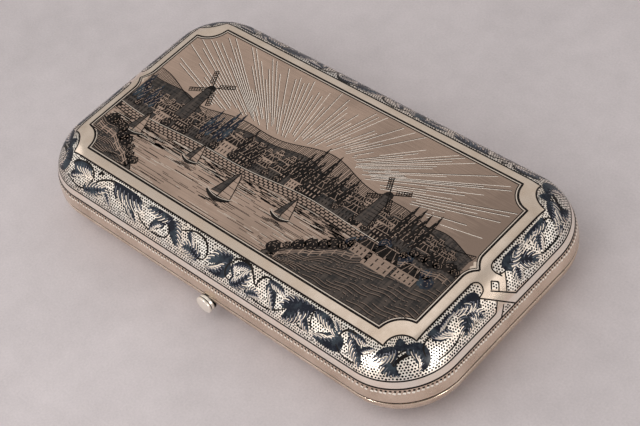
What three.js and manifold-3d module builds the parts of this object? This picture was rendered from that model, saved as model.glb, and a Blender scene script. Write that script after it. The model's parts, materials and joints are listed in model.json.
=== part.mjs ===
// A cushion-shaped silver snuff box: two lofted sheet-metal shells, a seven-knuckle hinge at the back
// and a push-button snap catch at the front. Millimetres, +Z up, the front is -Y and the hinge is at +Y.
// The origin is the centre of the flat bottom.

import * as THREE from 'three';
import { mergeVertices } from 'three/addons/utils/BufferGeometryUtils.js';
import Module from 'manifold-3d';

const wasm = await Module();
wasm.setup();

// Driving dimensions: the closed box
const boxLength = 90;
const boxWidth = 49;
const cornerRadius = 11.7;
const lidHeight = 9.2;
const baseHeight = 6;
const seam = 0.2;

// Driving dimensions: the two shells
const shoulderRun = 6.9;
const shoulderBreak = 0.155;
const bellyRun = 10.5;
const lidSheet = 0.8;
const baseSheet = 0.9;

// Driving dimensions: the bezel that the lid closes over
const bezelThickness = 0.6;
const bezelRise = 1.4;
const lidPlay = 0.3;
const ledgeWidth = 0.3;
const solderGap = 0.05;

// Driving dimensions: the hinge
const knuckleCount = 7;
const knuckleLength = 8;
const knuckleGap = 0.15;
const knuckleRadius = 1.3;
const pinRadius = 0.6;
const pinClearance = 0.06;
const troughClearance = 0.25;
const plugLength = 0.7;
const bearerThickness = 1.5;
const bearerOverhang = 0.5;
const lidBearerHeight = 1.7;

// Driving dimensions: the push button
const buttonRadius = 1.55;
const buttonReach = 1.3;
const buttonLength = 1.7;
const buttonDrop = 1.5;
const buttonClearance = 0.1;
const buttonEdge = 0.35;
const buttonDish = 0.12;
const stemRadius = 0.6;
const stemNeckRadius = 0.5;
const stemCollarRadius = 0.95;
const stemCollarLength = 0.4;
const stemClearance = 0.1;
const washerThickness = 0.3;

// Driving dimensions: the catch
const springThickness = 0.35;
const springHalfLength = 12;
const springFootLength = 2.5;
const springHeight = 1.4;
const springBow = 1.35;
const springPadHalfLength = 3;
const springPadDrop = 0.9;
const rivetRadius = 0.4;
const rivetHeadRadius = 0.65;
const rivetHeadHeight = 0.3;
const rivetClearance = 0.06;
const hookWidth = 3.2;
const hookReach = 0.5;
const hookDepth = 0.45;
const catchPlay = 0.2;
const tongueWidth = 3;
const tongueThickness = 0.5;
const tongueGap = 0.25;
const barbReach = 0.4;
const barbDepth = 0.5;
const barbLip = 0.15;
const tongueSeat = 0.12;

// Facet counts
const cornerSteps = 10;
const shoulderSteps = 11;
const bellySteps = 9;
const roundSides = 24;
const overcut = 3;

// Levels and planes that follow from the sizes above
const lidLevel = baseHeight + seam;
const boxHeight = lidLevel + lidHeight;
const rimWidth = lidSheet + lidPlay;
const bezelInset = rimWidth + solderGap;
const bezelTop = baseHeight + bezelRise;
const hingeY = boxWidth / 2;
const hingeZ = baseHeight + seam / 2;
const hingeLength = knuckleCount * knuckleLength;
const bearerHalfLength = hingeLength / 2 + bearerOverhang;
const bearerFace = boxWidth / 2 - rimWidth;
const boreRadius = pinRadius + pinClearance;
const troughRadius = knuckleRadius + troughClearance;
const frontWall = -boxWidth / 2;
const bezelInnerFace = frontWall + bezelInset + bezelThickness;
const buttonZ = baseHeight - buttonDrop;
const buttonFace = frontWall - buttonReach;
const buttonBack = buttonFace + buttonLength;
const springPadFace = bezelInnerFace + springBow;
const springPadBack = springPadFace + springThickness;
const springLow = baseHeight - springHeight;
const catchLevel = bezelTop - hookDepth;

// Finishes, as colour, roughness and metalness
const silver = [0xc9bda9, 0.32, 1];
const gilt = [0xd0ad84, 0.35, 1];
const steel = [0x9b9a96, 0.4, 1];
const hardSolderSilver = [0xbfb29e, 0.38, 1];

// The box's plan, a rounded rectangle drawn in by an inset, counter-clockwise seen from above.
function outline(inset) {
  const radius = Math.max(cornerRadius - inset, 0.05);
  const cx = boxLength / 2 - inset - radius;
  const cy = boxWidth / 2 - inset - radius;
  const points = [];
  const corners = [[cx, cy], [-cx, cy], [-cx, -cy], [cx, -cy]];
  corners.forEach(([x, y], corner) => {
    for (let step = 0; step <= cornerSteps; step += 1) {
      const angle = (corner + step / cornerSteps) * Math.PI / 2;
      points.push([x + radius * Math.cos(angle), y + radius * Math.sin(angle)]);
    }
  });
  return points;
}

// A loft through plan outlines, each station an inset and a height. An open loft is capped at both ends;
// a closed one joins its last station to its first and makes a frame.
function loft(stations, closed = false) {
  const rings = stations.map(([inset, z]) => outline(inset).map(([x, y]) => [x, y, z]));
  const count = rings[0].length;
  const positions = rings.flat(2);
  const index = [];
  const bands = closed ? rings.length : rings.length - 1;
  for (let band = 0; band < bands; band += 1) {
    const above = band * count;
    const below = ((band + 1) % rings.length) * count;
    for (let j = 0; j < count; j += 1) {
      const next = (j + 1) % count;
      index.push(above + j, below + j, below + next, above + j, below + next, above + next);
    }
  }
  if (!closed) {
    const last = (rings.length - 1) * count;
    const firstCentre = positions.length / 3;
    positions.push(0, 0, stations[0][1], 0, 0, stations[stations.length - 1][1]);
    for (let j = 0; j < count; j += 1) {
      const next = (j + 1) % count;
      index.push(firstCentre, j, next, firstCentre + 1, last + next, last + j);
    }
  }
  const geometry = new THREE.BufferGeometry();
  geometry.setAttribute('position', new THREE.Float32BufferAttribute(positions, 3));
  geometry.setIndex(index);
  return geometry;
}

// The lid's shoulder at a turn from shoulderBreak, at the panel, to a quarter turn, at the mouth:
// part of an ellipse, moved in by the depth below the outer surface.
function shoulder(turn, depth = 0) {
  const run = shoulderRun / (1 - Math.sin(shoulderBreak));
  const rise = lidHeight / Math.cos(shoulderBreak);
  const inset = shoulderRun - run * (Math.sin(turn) - Math.sin(shoulderBreak));
  const z = boxHeight - rise * (Math.cos(shoulderBreak) - Math.cos(turn));
  const normal = new THREE.Vector2(rise * Math.sin(turn), run * Math.cos(turn)).normalize();
  return [inset + depth * normal.x, z - depth * normal.y];
}

// The base's belly at a turn from zero, at the rim, to a quarter turn, at the flat bottom.
function belly(turn, depth = 0) {
  const inset = bellyRun * (1 - Math.cos(turn));
  const z = baseHeight * (1 - Math.sin(turn));
  const normal = new THREE.Vector2(baseHeight * Math.cos(turn), bellyRun * Math.sin(turn)).normalize();
  return [inset + depth * normal.x, z + depth * normal.y];
}

// The turn at which a section's inset reaches a wanted value, by halving the interval.
function turnAtInset(section, depth, wanted, low, high) {
  const rising = section(high, depth)[0] > section(low, depth)[0];
  for (let step = 0; step < 40; step += 1) {
    const middle = (low + high) / 2;
    const past = section(middle, depth)[0] > wanted;
    if (past === rising) high = middle;
    else low = middle;
  }
  return (low + high) / 2;
}

// Evenly spaced turns of a section, both ends included.
function sweep(section, depth, from, to, steps) {
  return Array.from({ length: steps + 1 }, (_, k) => section(from + (to - from) * k / steps, depth));
}

// A closed mesh as a solid for joining and cutting.
function solid(geometry) {
  const bare = geometry.clone();
  bare.deleteAttribute('normal');
  bare.deleteAttribute('uv');
  const merged = mergeVertices(bare, 1e-5);
  return new wasm.Manifold(new wasm.Mesh({
    numProp: 3,
    vertProperties: new Float32Array(merged.attributes.position.array),
    triVerts: new Uint32Array(merged.index.array),
  }));
}

// A solid back as a geometry for a mesh.
function geometryOf(body) {
  const mesh = body.getMesh();
  const geometry = new THREE.BufferGeometry();
  geometry.setAttribute('position', new THREE.BufferAttribute(mesh.vertProperties, 3));
  geometry.setIndex(new THREE.BufferAttribute(mesh.triVerts, 1));
  return geometry;
}

// A block between two corners.
function block(low, high) {
  const size = high.map((value, k) => value - low[k]);
  const middle = high.map((value, k) => (value + low[k]) / 2);
  return new THREE.BoxGeometry(...size).translate(...middle);
}

// A round bar along X, from one end to the other.
function barX(radius, from, to, y, z) {
  const bar = new THREE.CylinderGeometry(radius, radius, to - from, roundSides);
  return bar.rotateZ(-Math.PI / 2).translate((from + to) / 2, y, z);
}

// A round bar along Y, from one end to the other.
function barY(radius, from, to, x, z) {
  const bar = new THREE.CylinderGeometry(radius, radius, to - from, roundSides);
  return bar.translate(x, (from + to) / 2, z);
}

// A turned piece along Y: a profile of radius and place along the axis, from the inner end to the outer.
function turned(profile, x, z) {
  const points = profile.map(([radius, along]) => new THREE.Vector2(radius, along));
  return new THREE.LatheGeometry(points, roundSides).translate(x, 0, z);
}

// A section in the YZ plane carried along X over a width, centred on the box.
function carriedAlongX(section, width) {
  const shape = new THREE.Shape(section.map(([y, z]) => new THREE.Vector2(y, z)));
  const strip = new THREE.ExtrudeGeometry(shape, { depth: width, bevelEnabled: false });
  strip.applyMatrix4(new THREE.Matrix4().makeBasis(
    new THREE.Vector3(0, 1, 0),
    new THREE.Vector3(0, 0, 1),
    new THREE.Vector3(1, 0, 0),
  ));
  return strip.translate(-width / 2, 0, 0);
}

// The span of a knuckle along X, with the running gap taken off both its ends or added to them.
function knuckleSpan(place, gap) {
  const start = -hingeLength / 2 + place * knuckleLength;
  return [start - gap / 2, start + knuckleLength + gap / 2];
}

// Knuckles belong to the base and the lid in turn, starting and ending with the base.
const places = Array.from({ length: knuckleCount }, (_, place) => place);
const basePlaces = places.filter((place) => place % 2 === 0);
const lidPlaces = places.filter((place) => place % 2 === 1);

// The round clearance that the barrel of the hinge turns in.
const hingeTrough = solid(barX(
  troughRadius,
  -hingeLength / 2 - knuckleGap,
  hingeLength / 2 + knuckleGap,
  hingeY,
  hingeZ,
));

// Lid shell: panel, shoulder, mouth and hollow in one lofted skin, cut away round the hinge barrel.
function lidShell() {
  const outside = sweep(shoulder, 0, shoulderBreak, Math.PI / 2, shoulderSteps);
  const inside = sweep(shoulder, lidSheet, Math.PI / 2, shoulderBreak, shoulderSteps);
  return geometryOf(solid(loft([...outside, ...inside])).subtract(hingeTrough));
}

// Where the bezel's ledge meets the belly's inner face.
const ledgeTurn = turnAtInset(belly, baseSheet, rimWidth + ledgeWidth, 0, Math.PI / 2);
const ledgeLevel = belly(ledgeTurn, baseSheet)[1];

// Base pan: hollow, ledge, rim, belly and flat bottom, with the button's bore and the hinge's trough.
function basePan() {
  const hollow = sweep(belly, baseSheet, Math.PI / 2, ledgeTurn, bellySteps);
  const outside = sweep(belly, 0, 0, Math.PI / 2, bellySteps);
  const rim = [[rimWidth, ledgeLevel], [rimWidth, baseHeight]];
  const boreStart = frontWall - overcut;
  const boreEnd = frontWall + 2 * overcut;
  const headBore = barY(buttonRadius + buttonClearance, boreStart, frontWall + rimWidth, 0, buttonZ);
  const stemBore = barY(stemRadius + stemClearance, boreStart, boreEnd, 0, buttonZ);
  return geometryOf(solid(loft([...hollow, ...rim, ...outside]))
    .subtract(hingeTrough)
    .subtract(solid(headBore))
    .subtract(solid(stemBore)));
}

// Bezel: a strip standing on the ledge that the lid closes over. It stops at both ends of the hinge
// and is slotted for the stem and drilled for the spring's rivets.
function baseBezel() {
  const inner = bezelInset + bezelThickness;
  const strip = loft([
    [bezelInset, bezelTop],
    [bezelInset, ledgeLevel],
    [inner, ledgeLevel],
    [inner, bezelTop],
  ], true);
  const hingeGap = bearerHalfLength + solderGap;
  const slot = stemRadius + stemClearance;
  const gap = block([-hingeGap, hingeY - 2 * overcut, 0], [hingeGap, hingeY, boxHeight]);
  const stemSlot = block([-slot, frontWall, 0], [slot, frontWall + 2 * overcut, buttonZ]);
  const stemTop = barY(slot, frontWall, frontWall + 2 * overcut, 0, buttonZ);
  const rivetBores = rivetPlaces.map((x) => solid(
    barY(rivetRadius + rivetClearance, frontWall, frontWall + 2 * overcut, x, rivetZ),
  ));
  const cuts = [solid(gap), solid(stemSlot), solid(stemTop), ...rivetBores];
  return geometryOf(cuts.reduce((body, cut) => body.subtract(cut), solid(strip)));
}

// A hinge bearer between two levels, hollowed where the other half's knuckles turn.
function hingeBearer(low, high, otherPlaces) {
  const strip = block(
    [-bearerHalfLength, bearerFace - bearerThickness, low],
    [bearerHalfLength, bearerFace, high],
  );
  const body = otherPlaces.reduce((left, place) => {
    const [from, to] = knuckleSpan(place, knuckleGap);
    return left.subtract(solid(barX(troughRadius, from, to, hingeY, hingeZ)));
  }, solid(strip));
  return geometryOf(body);
}

// A knuckle: a tube round the pin, filed flat where it is soldered to its bearer.
function knuckle(place) {
  const [from, to] = knuckleSpan(place, -knuckleGap);
  const barrel = solid(barX(knuckleRadius, from, to, hingeY, hingeZ));
  const bore = barX(boreRadius, from - overcut, to + overcut, hingeY, hingeZ);
  const flat = block(
    [from - overcut, bearerFace - overcut, hingeZ - overcut],
    [to + overcut, bearerFace, hingeZ + overcut],
  );
  return geometryOf(barrel.subtract(solid(bore)).subtract(solid(flat)));
}

// Hinge pin, shorter than the barrel by a plug at each end.
function hingePin() {
  const end = hingeLength / 2 - knuckleGap / 2 - plugLength - solderGap;
  return barX(pinRadius, -end, end, hingeY, hingeZ);
}

// A plug that closes the bore at one end of the barrel.
function hingePlug(side) {
  const outer = hingeLength / 2 - knuckleGap / 2;
  const inner = outer - plugLength;
  const [from, to] = side < 0 ? [-outer, -inner] : [inner, outer];
  return barX(pinRadius, from, to, hingeY, hingeZ);
}

// Push button: a turned head with a rounded edge and a dished face, sliding in the base's wall.
function pushButton() {
  const edge = Array.from({ length: 5 }, (_, k) => {
    const angle = k / 4 * Math.PI / 2;
    return [
      buttonRadius - buttonEdge + buttonEdge * Math.cos(angle),
      buttonFace + buttonEdge - buttonEdge * Math.sin(angle),
    ];
  });
  const dish = [
    [(buttonRadius - buttonEdge) / 2, buttonFace + buttonDish * 0.75],
    [0, buttonFace + buttonDish],
  ];
  const profile = [[0, buttonBack], [buttonRadius, buttonBack], ...edge, ...dish];
  return turned(profile.reverse(), 0, buttonZ);
}

// Stem: it runs through the wall, bears on the spring with its collar and ends in a riveted neck.
function buttonStem() {
  const collarStart = springPadFace - stemCollarLength;
  const neckEnd = springPadBack + washerThickness;
  const profile = [
    [0, buttonBack],
    [stemRadius, buttonBack],
    [stemRadius, collarStart],
    [stemCollarRadius, collarStart],
    [stemCollarRadius, springPadFace],
    [stemNeckRadius, springPadFace],
    [stemNeckRadius, neckEnd],
    [0, neckEnd],
  ];
  return turned(profile, 0, buttonZ);
}

// Washer that the stem's neck is riveted over, on the far side of the spring.
function buttonWasher() {
  const disc = barY(stemCollarRadius, springPadBack, springPadBack + washerThickness, 0, buttonZ);
  const hole = barY(stemNeckRadius + rivetClearance, 2 * frontWall, 0, 0, buttonZ);
  return geometryOf(solid(disc).subtract(solid(hole)));
}

// Where the spring's rivets sit.
const rivetX = springHalfLength - springFootLength / 2;
const rivetPlaces = [-rivetX, rivetX];
const rivetZ = baseHeight - springHeight / 2;

// Catch spring: a leaf bowed in from two riveted feet, with a pad round the stem and a hook on top.
function catchSpring() {
  const bendEnd = springHalfLength - springFootLength;
  const bendMiddle = (bendEnd + springPadHalfLength) / 2;
  const foot = bezelInnerFace;
  const footBack = foot + springThickness;
  const leaf = new THREE.Shape();
  leaf.moveTo(-springHalfLength, foot);
  leaf.lineTo(-bendEnd, foot);
  leaf.bezierCurveTo(-bendMiddle, foot, -bendMiddle, springPadFace, -springPadHalfLength, springPadFace);
  leaf.lineTo(springPadHalfLength, springPadFace);
  leaf.bezierCurveTo(bendMiddle, springPadFace, bendMiddle, foot, bendEnd, foot);
  leaf.lineTo(springHalfLength, foot);
  leaf.lineTo(springHalfLength, footBack);
  leaf.lineTo(bendEnd, footBack);
  leaf.bezierCurveTo(bendMiddle, footBack, bendMiddle, springPadBack, springPadHalfLength, springPadBack);
  leaf.lineTo(-springPadHalfLength, springPadBack);
  leaf.bezierCurveTo(-bendMiddle, springPadBack, -bendMiddle, footBack, -bendEnd, footBack);
  leaf.lineTo(-springHalfLength, footBack);
  leaf.closePath();
  const strip = new THREE.ExtrudeGeometry(leaf, {
    depth: springHeight,
    bevelEnabled: false,
    curveSegments: 8,
  });
  const pad = block(
    [-springPadHalfLength, springPadFace, springLow - springPadDrop],
    [springPadHalfLength, springPadBack, baseHeight],
  );
  const hook = carriedAlongX([
    [springPadBack, springLow],
    [springPadBack, catchLevel + hookDepth],
    [springPadFace, catchLevel + hookDepth],
    [springPadFace - hookReach, catchLevel + barbLip],
    [springPadFace - hookReach, catchLevel],
    [springPadFace, catchLevel],
    [springPadFace, springLow],
  ].reverse(), hookWidth);
  const neckBore = barY(stemNeckRadius + rivetClearance, 2 * frontWall, 0, 0, buttonZ);
  const rivetBore = rivetRadius + rivetClearance;
  const bores = rivetPlaces.map((x) => solid(barY(rivetBore, 2 * frontWall, 0, x, rivetZ)));
  const blank = solid(strip.translate(0, 0, springLow)).add(solid(pad)).add(solid(hook));
  return geometryOf([solid(neckBore), ...bores].reduce((body, bore) => body.subtract(bore), blank));
}

// A rivet through the bezel and a foot of the spring, its domed head inside the box.
function springRivet(x) {
  const head = bezelInnerFace + springThickness;
  const dome = Array.from({ length: 5 }, (_, k) => {
    const angle = k / 4 * Math.PI / 2;
    return [rivetHeadRadius * Math.cos(angle), head + rivetHeadHeight * Math.sin(angle)];
  });
  const tail = frontWall + bezelInset;
  const profile = [[0, tail], [rivetRadius, tail], [rivetRadius, head], ...dome];
  return turned(profile, x, rivetZ);
}

// Catch tongue: a strip that hangs from the lid's front wall, inside the bezel, with a barb for the hook.
function catchTongue() {
  const outer = bezelInnerFace + tongueGap;
  const inner = outer + tongueThickness;
  const barbTop = catchLevel - catchPlay;
  const barbTip = inner + barbReach;
  const seatDepth = lidSheet + tongueSeat;
  const lowTurn = turnAtInset(shoulder, seatDepth, bezelInset + tongueGap / 2, shoulderBreak, Math.PI / 2);
  const highTurn = turnAtInset(shoulder, seatDepth, bezelInset + bezelThickness, shoulderBreak, Math.PI / 2);
  const [lowInset, lowZ] = shoulder(lowTurn, seatDepth);
  const [highInset, highZ] = shoulder(highTurn, seatDepth);
  return carriedAlongX([
    [outer, barbTop - barbDepth],
    [inner, barbTop - barbDepth],
    [barbTip, barbTop - barbLip],
    [barbTip, barbTop],
    [inner, barbTop],
    [inner, highZ],
    [frontWall + highInset, highZ],
    [frontWall + lowInset, lowZ],
    [outer, lowZ],
  ], tongueWidth);
}

// One named mesh with its own finish, added to the box.
const box = new THREE.Group();
function place(name, geometry, [color, roughness, metalness]) {
  const material = new THREE.MeshStandardMaterial({ color, roughness, metalness });
  const mesh = new THREE.Mesh(geometry, material);
  mesh.name = name;
  box.add(mesh);
}

place('base_pan', basePan(), silver);
place('base_bezel', baseBezel(), gilt);
place('base_hinge_bearer', hingeBearer(ledgeLevel, baseHeight, lidPlaces), hardSolderSilver);
basePlaces.forEach((at, k) => place(`base_knuckle_${k + 1}`, knuckle(at), silver));
place('hinge_pin', hingePin(), steel);
place('hinge_plug_left', hingePlug(-1), silver);
place('hinge_plug_right', hingePlug(1), silver);
place('catch_spring', catchSpring(), steel);
place('spring_rivet_left', springRivet(-rivetX), silver);
place('spring_rivet_right', springRivet(rivetX), silver);
place('push_button', pushButton(), silver);
place('button_stem', buttonStem(), steel);
place('button_washer', buttonWasher(), steel);
place('lid_shell', lidShell(), silver);
place('lid_hinge_bearer', hingeBearer(lidLevel, lidLevel + lidBearerHeight, basePlaces), hardSolderSilver);
lidPlaces.forEach((at, k) => place(`lid_knuckle_${k + 1}`, knuckle(at), silver));
place('catch_tongue', catchTongue(), gilt);

export default box;
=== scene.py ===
"""Looks of a silver and niello snuff box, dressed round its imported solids.

Shapes are worked out in millimetres and put into their meshes in metres. +Z is up, the front is -Y and the
hinge is at +Y. The outer skins lie a hair below the solids, so that the inlay on them stays inside the box.
"""

import json

import bmesh
import bpy
import numpy as np
from bpy.props import FloatProperty, FloatVectorProperty, PointerProperty
from mathutils import Matrix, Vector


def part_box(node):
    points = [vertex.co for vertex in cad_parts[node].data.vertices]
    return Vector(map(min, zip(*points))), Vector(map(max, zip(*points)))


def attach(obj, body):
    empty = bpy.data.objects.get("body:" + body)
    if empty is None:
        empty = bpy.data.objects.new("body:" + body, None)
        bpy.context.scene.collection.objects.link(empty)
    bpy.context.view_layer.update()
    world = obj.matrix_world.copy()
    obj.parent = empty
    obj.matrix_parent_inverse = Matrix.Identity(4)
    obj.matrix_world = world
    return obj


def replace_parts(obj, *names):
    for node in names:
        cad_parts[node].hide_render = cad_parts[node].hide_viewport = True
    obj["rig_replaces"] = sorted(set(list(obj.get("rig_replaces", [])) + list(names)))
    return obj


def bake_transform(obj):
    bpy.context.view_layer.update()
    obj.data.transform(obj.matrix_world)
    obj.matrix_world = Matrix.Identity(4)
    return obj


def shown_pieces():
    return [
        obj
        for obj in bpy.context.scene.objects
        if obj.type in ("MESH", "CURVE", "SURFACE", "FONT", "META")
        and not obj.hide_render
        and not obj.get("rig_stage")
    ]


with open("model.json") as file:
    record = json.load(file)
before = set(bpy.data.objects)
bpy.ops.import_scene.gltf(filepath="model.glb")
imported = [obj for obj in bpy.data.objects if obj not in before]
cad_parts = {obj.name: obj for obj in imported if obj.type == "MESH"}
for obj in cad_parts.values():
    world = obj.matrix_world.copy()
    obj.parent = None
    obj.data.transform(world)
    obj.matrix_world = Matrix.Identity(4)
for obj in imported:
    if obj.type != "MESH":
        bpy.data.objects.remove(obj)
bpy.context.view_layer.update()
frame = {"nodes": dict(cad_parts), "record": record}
LID_LOW, LID_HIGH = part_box("lid_shell")
BASE_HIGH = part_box("base_pan")[1]

bl_info = {
    "name": "Niello Snuff Box",
    "version": (1, 0, 0),
    "blender": (4, 5, 0),
    "location": "View3D > Sidebar > Snuff Box",
    "description": "Builds the skins, the niello inlay, the small parts and the stage of a snuff box",
    "category": "Add Mesh",
}

MM = 0.001


# What a user may change


def length(name, description, default):
    """A length property in metres, from a default in millimetres."""
    return FloatProperty(name=name, description=description, default=default * MM, unit="LENGTH", precision=5)


def colour(name, description, default):
    """A colour property in scene linear values."""
    return FloatVectorProperty(
        name=name, description=description, default=default, subtype="COLOR", size=3, min=0.0, max=1.0
    )


class SnuffBoxSizes(bpy.types.PropertyGroup):
    """Sizes of the skins and of the ornament."""

    box_length: length("Length", "Length of the closed box", (LID_HIGH.x - LID_LOW.x) / MM)
    box_width: length("Width", "Width of the lid", (LID_HIGH.y - LID_LOW.y) / MM)
    lid_level: length("Lid level", "Height of the lid's edge above the bottom", LID_LOW.z / MM)
    lid_height: length("Lid height", "Height of the lid alone", (LID_HIGH.z - LID_LOW.z) / MM)
    base_height: length("Base height", "Height of the base's rim", BASE_HIGH.z / MM)
    corner_radius: length("Corner radius", "Radius of the plan's corners", 11.7)
    shoulder_run: length("Shoulder run", "How far the shoulder reaches in from the wall", 6.9)
    shoulder_break: FloatProperty(
        name="Shoulder break", description="Turn at the panel's edge", default=0.155, subtype="ANGLE"
    )
    belly_run: length("Belly run", "How far the belly reaches in from the rim", 10.5)
    lid_sheet: length("Lid sheet", "Thickness of the lid's sheet", 0.8)
    base_sheet: length("Base sheet", "Thickness of the base's sheet", 0.9)
    rim_width: length("Rim width", "Width of the base's flat rim", 1.1)
    ledge_width: length("Ledge width", "Width of the ledge under the bezel", 0.3)
    skin_depth: length("Skin depth", "Depth of the skins below the solids", 0.045)
    lip_round: length("Lip rounding", "Rounding of the edges at the parting", 0.13)
    trough_radius: length("Trough radius", "Clearance round the hinge's barrel", 1.55)
    trough_half: length("Trough half length", "Half the length of the hinge's trough", 28.15)
    hinge_level: length("Hinge level", "Height of the hinge's axis", 6.1)
    button_radius: length("Button radius", "Radius of the push button", 1.55)
    button_bore: length("Button bore", "Radius of the button's bore in the base", 1.65)
    stem_bore: length("Stem bore", "Radius of the stem's bore in the base", 0.7)
    button_level: length("Button level", "Height of the button's axis", 4.5)
    frame_length: length("Frame half length", "Half length of the picture inside its frame", 38.1)
    frame_width: length("Frame half width", "Half width of the picture inside its frame", 17.6)
    frame_notch: length("Frame notch", "Radius of the frame's re-entrant corners", 4.0)
    strap_width: length("Strap width", "Width of the plain strap in plan", 1.66)
    strap_notch: length("Strap notch", "Radius of the strap's outer re-entrant corners", 3.6)
    stipple_pitch: length("Stipple pitch", "Distance between punched dots", 0.49)
    dot_radius: length("Dot radius", "Radius of one punched dot", 0.17)
    bead_pitch: length("Bead pitch", "Distance between the beads along the long sides", 0.725)
    bead_pitch_short: length("End bead pitch", "Distance between the beads round the short sides", 0.592)


class SnuffBoxColours(bpy.types.PropertyGroup):
    """Colours of the finishes and of the stage."""

    silver: colour("Silver", "Polished silver of the strap", (0.97, 0.82, 0.69))
    silver_tarnish: colour("Silver tarnish", "Duller silver in patches", (0.76, 0.60, 0.47))
    band: colour("Band", "Warm worn silver of the plain bands and the base", (0.85, 0.70, 0.57))
    band_tarnish: colour("Band tarnish", "Duller patches of the plain bands", (0.53, 0.40, 0.305))
    base_tarnish: colour("Base tarnish", "Brown patches of the base", (0.45, 0.32, 0.245))
    satin: colour("Satin", "Satin ground of the picture", (0.70, 0.515, 0.41))
    # The dull satin colour is also the painted shade towards +X.
    satin_tarnish: colour("Satin tarnish", "Darker patches of the satin ground", (0.34, 0.25, 0.20))
    cut: colour("Bright cut", "Bright engraved cuts", (0.97, 0.86, 0.75))
    frosted: colour("Frosted", "Punched ground between the dots", (0.97, 0.92, 0.85))
    # White is also the colour of the beads' painted highlights.
    white: colour("White silver", "Silver between the bands, of beads, rays and button", (1.0, 0.92, 0.82))
    # Niello and worn niello also colour the painted shade of the seam, the bores and the button.
    niello: colour("Niello", "Black niello of lines and dots", (0.006, 0.004, 0.0035))
    niello_worn: colour("Worn niello", "Rubbed patches of the black niello", (0.024, 0.018, 0.015))
    leaf: colour("Leaf niello", "Blue-black niello of the leaves", (0.012, 0.014, 0.023))
    leaf_worn: colour("Worn leaf niello", "Rubbed patches of the leaves", (0.055, 0.075, 0.092))
    # Veins on the leaf bodies, pale as a painted highlight along them.
    leaf_rubbed: colour("Rubbed leaf", "Veins where the silver shows through the leaves", (0.26, 0.26, 0.30))
    gilt: colour("Gilt", "Gilding inside the box", (0.90, 0.66, 0.36))
    gilt_worn: colour("Worn gilt", "Thin patches of the gilding", (0.80, 0.62, 0.42))
    steel: colour("Steel", "Spring, pin and stem", (0.42, 0.41, 0.40))
    steel_dark: colour("Dark steel", "Heat marks on the steel", (0.24, 0.22, 0.21))
    floor: colour("Floor", "Paper under the box", (0.610, 0.560, 0.572))
    light: colour("Light", "Tint of the studio light", (1.0, 0.98, 0.96))


# The box's form


def clean_turn(value, low, high):
    """The value carried into the range from low to high by whole turns of its length."""
    return (value - low) % (high - low) + low


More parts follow.
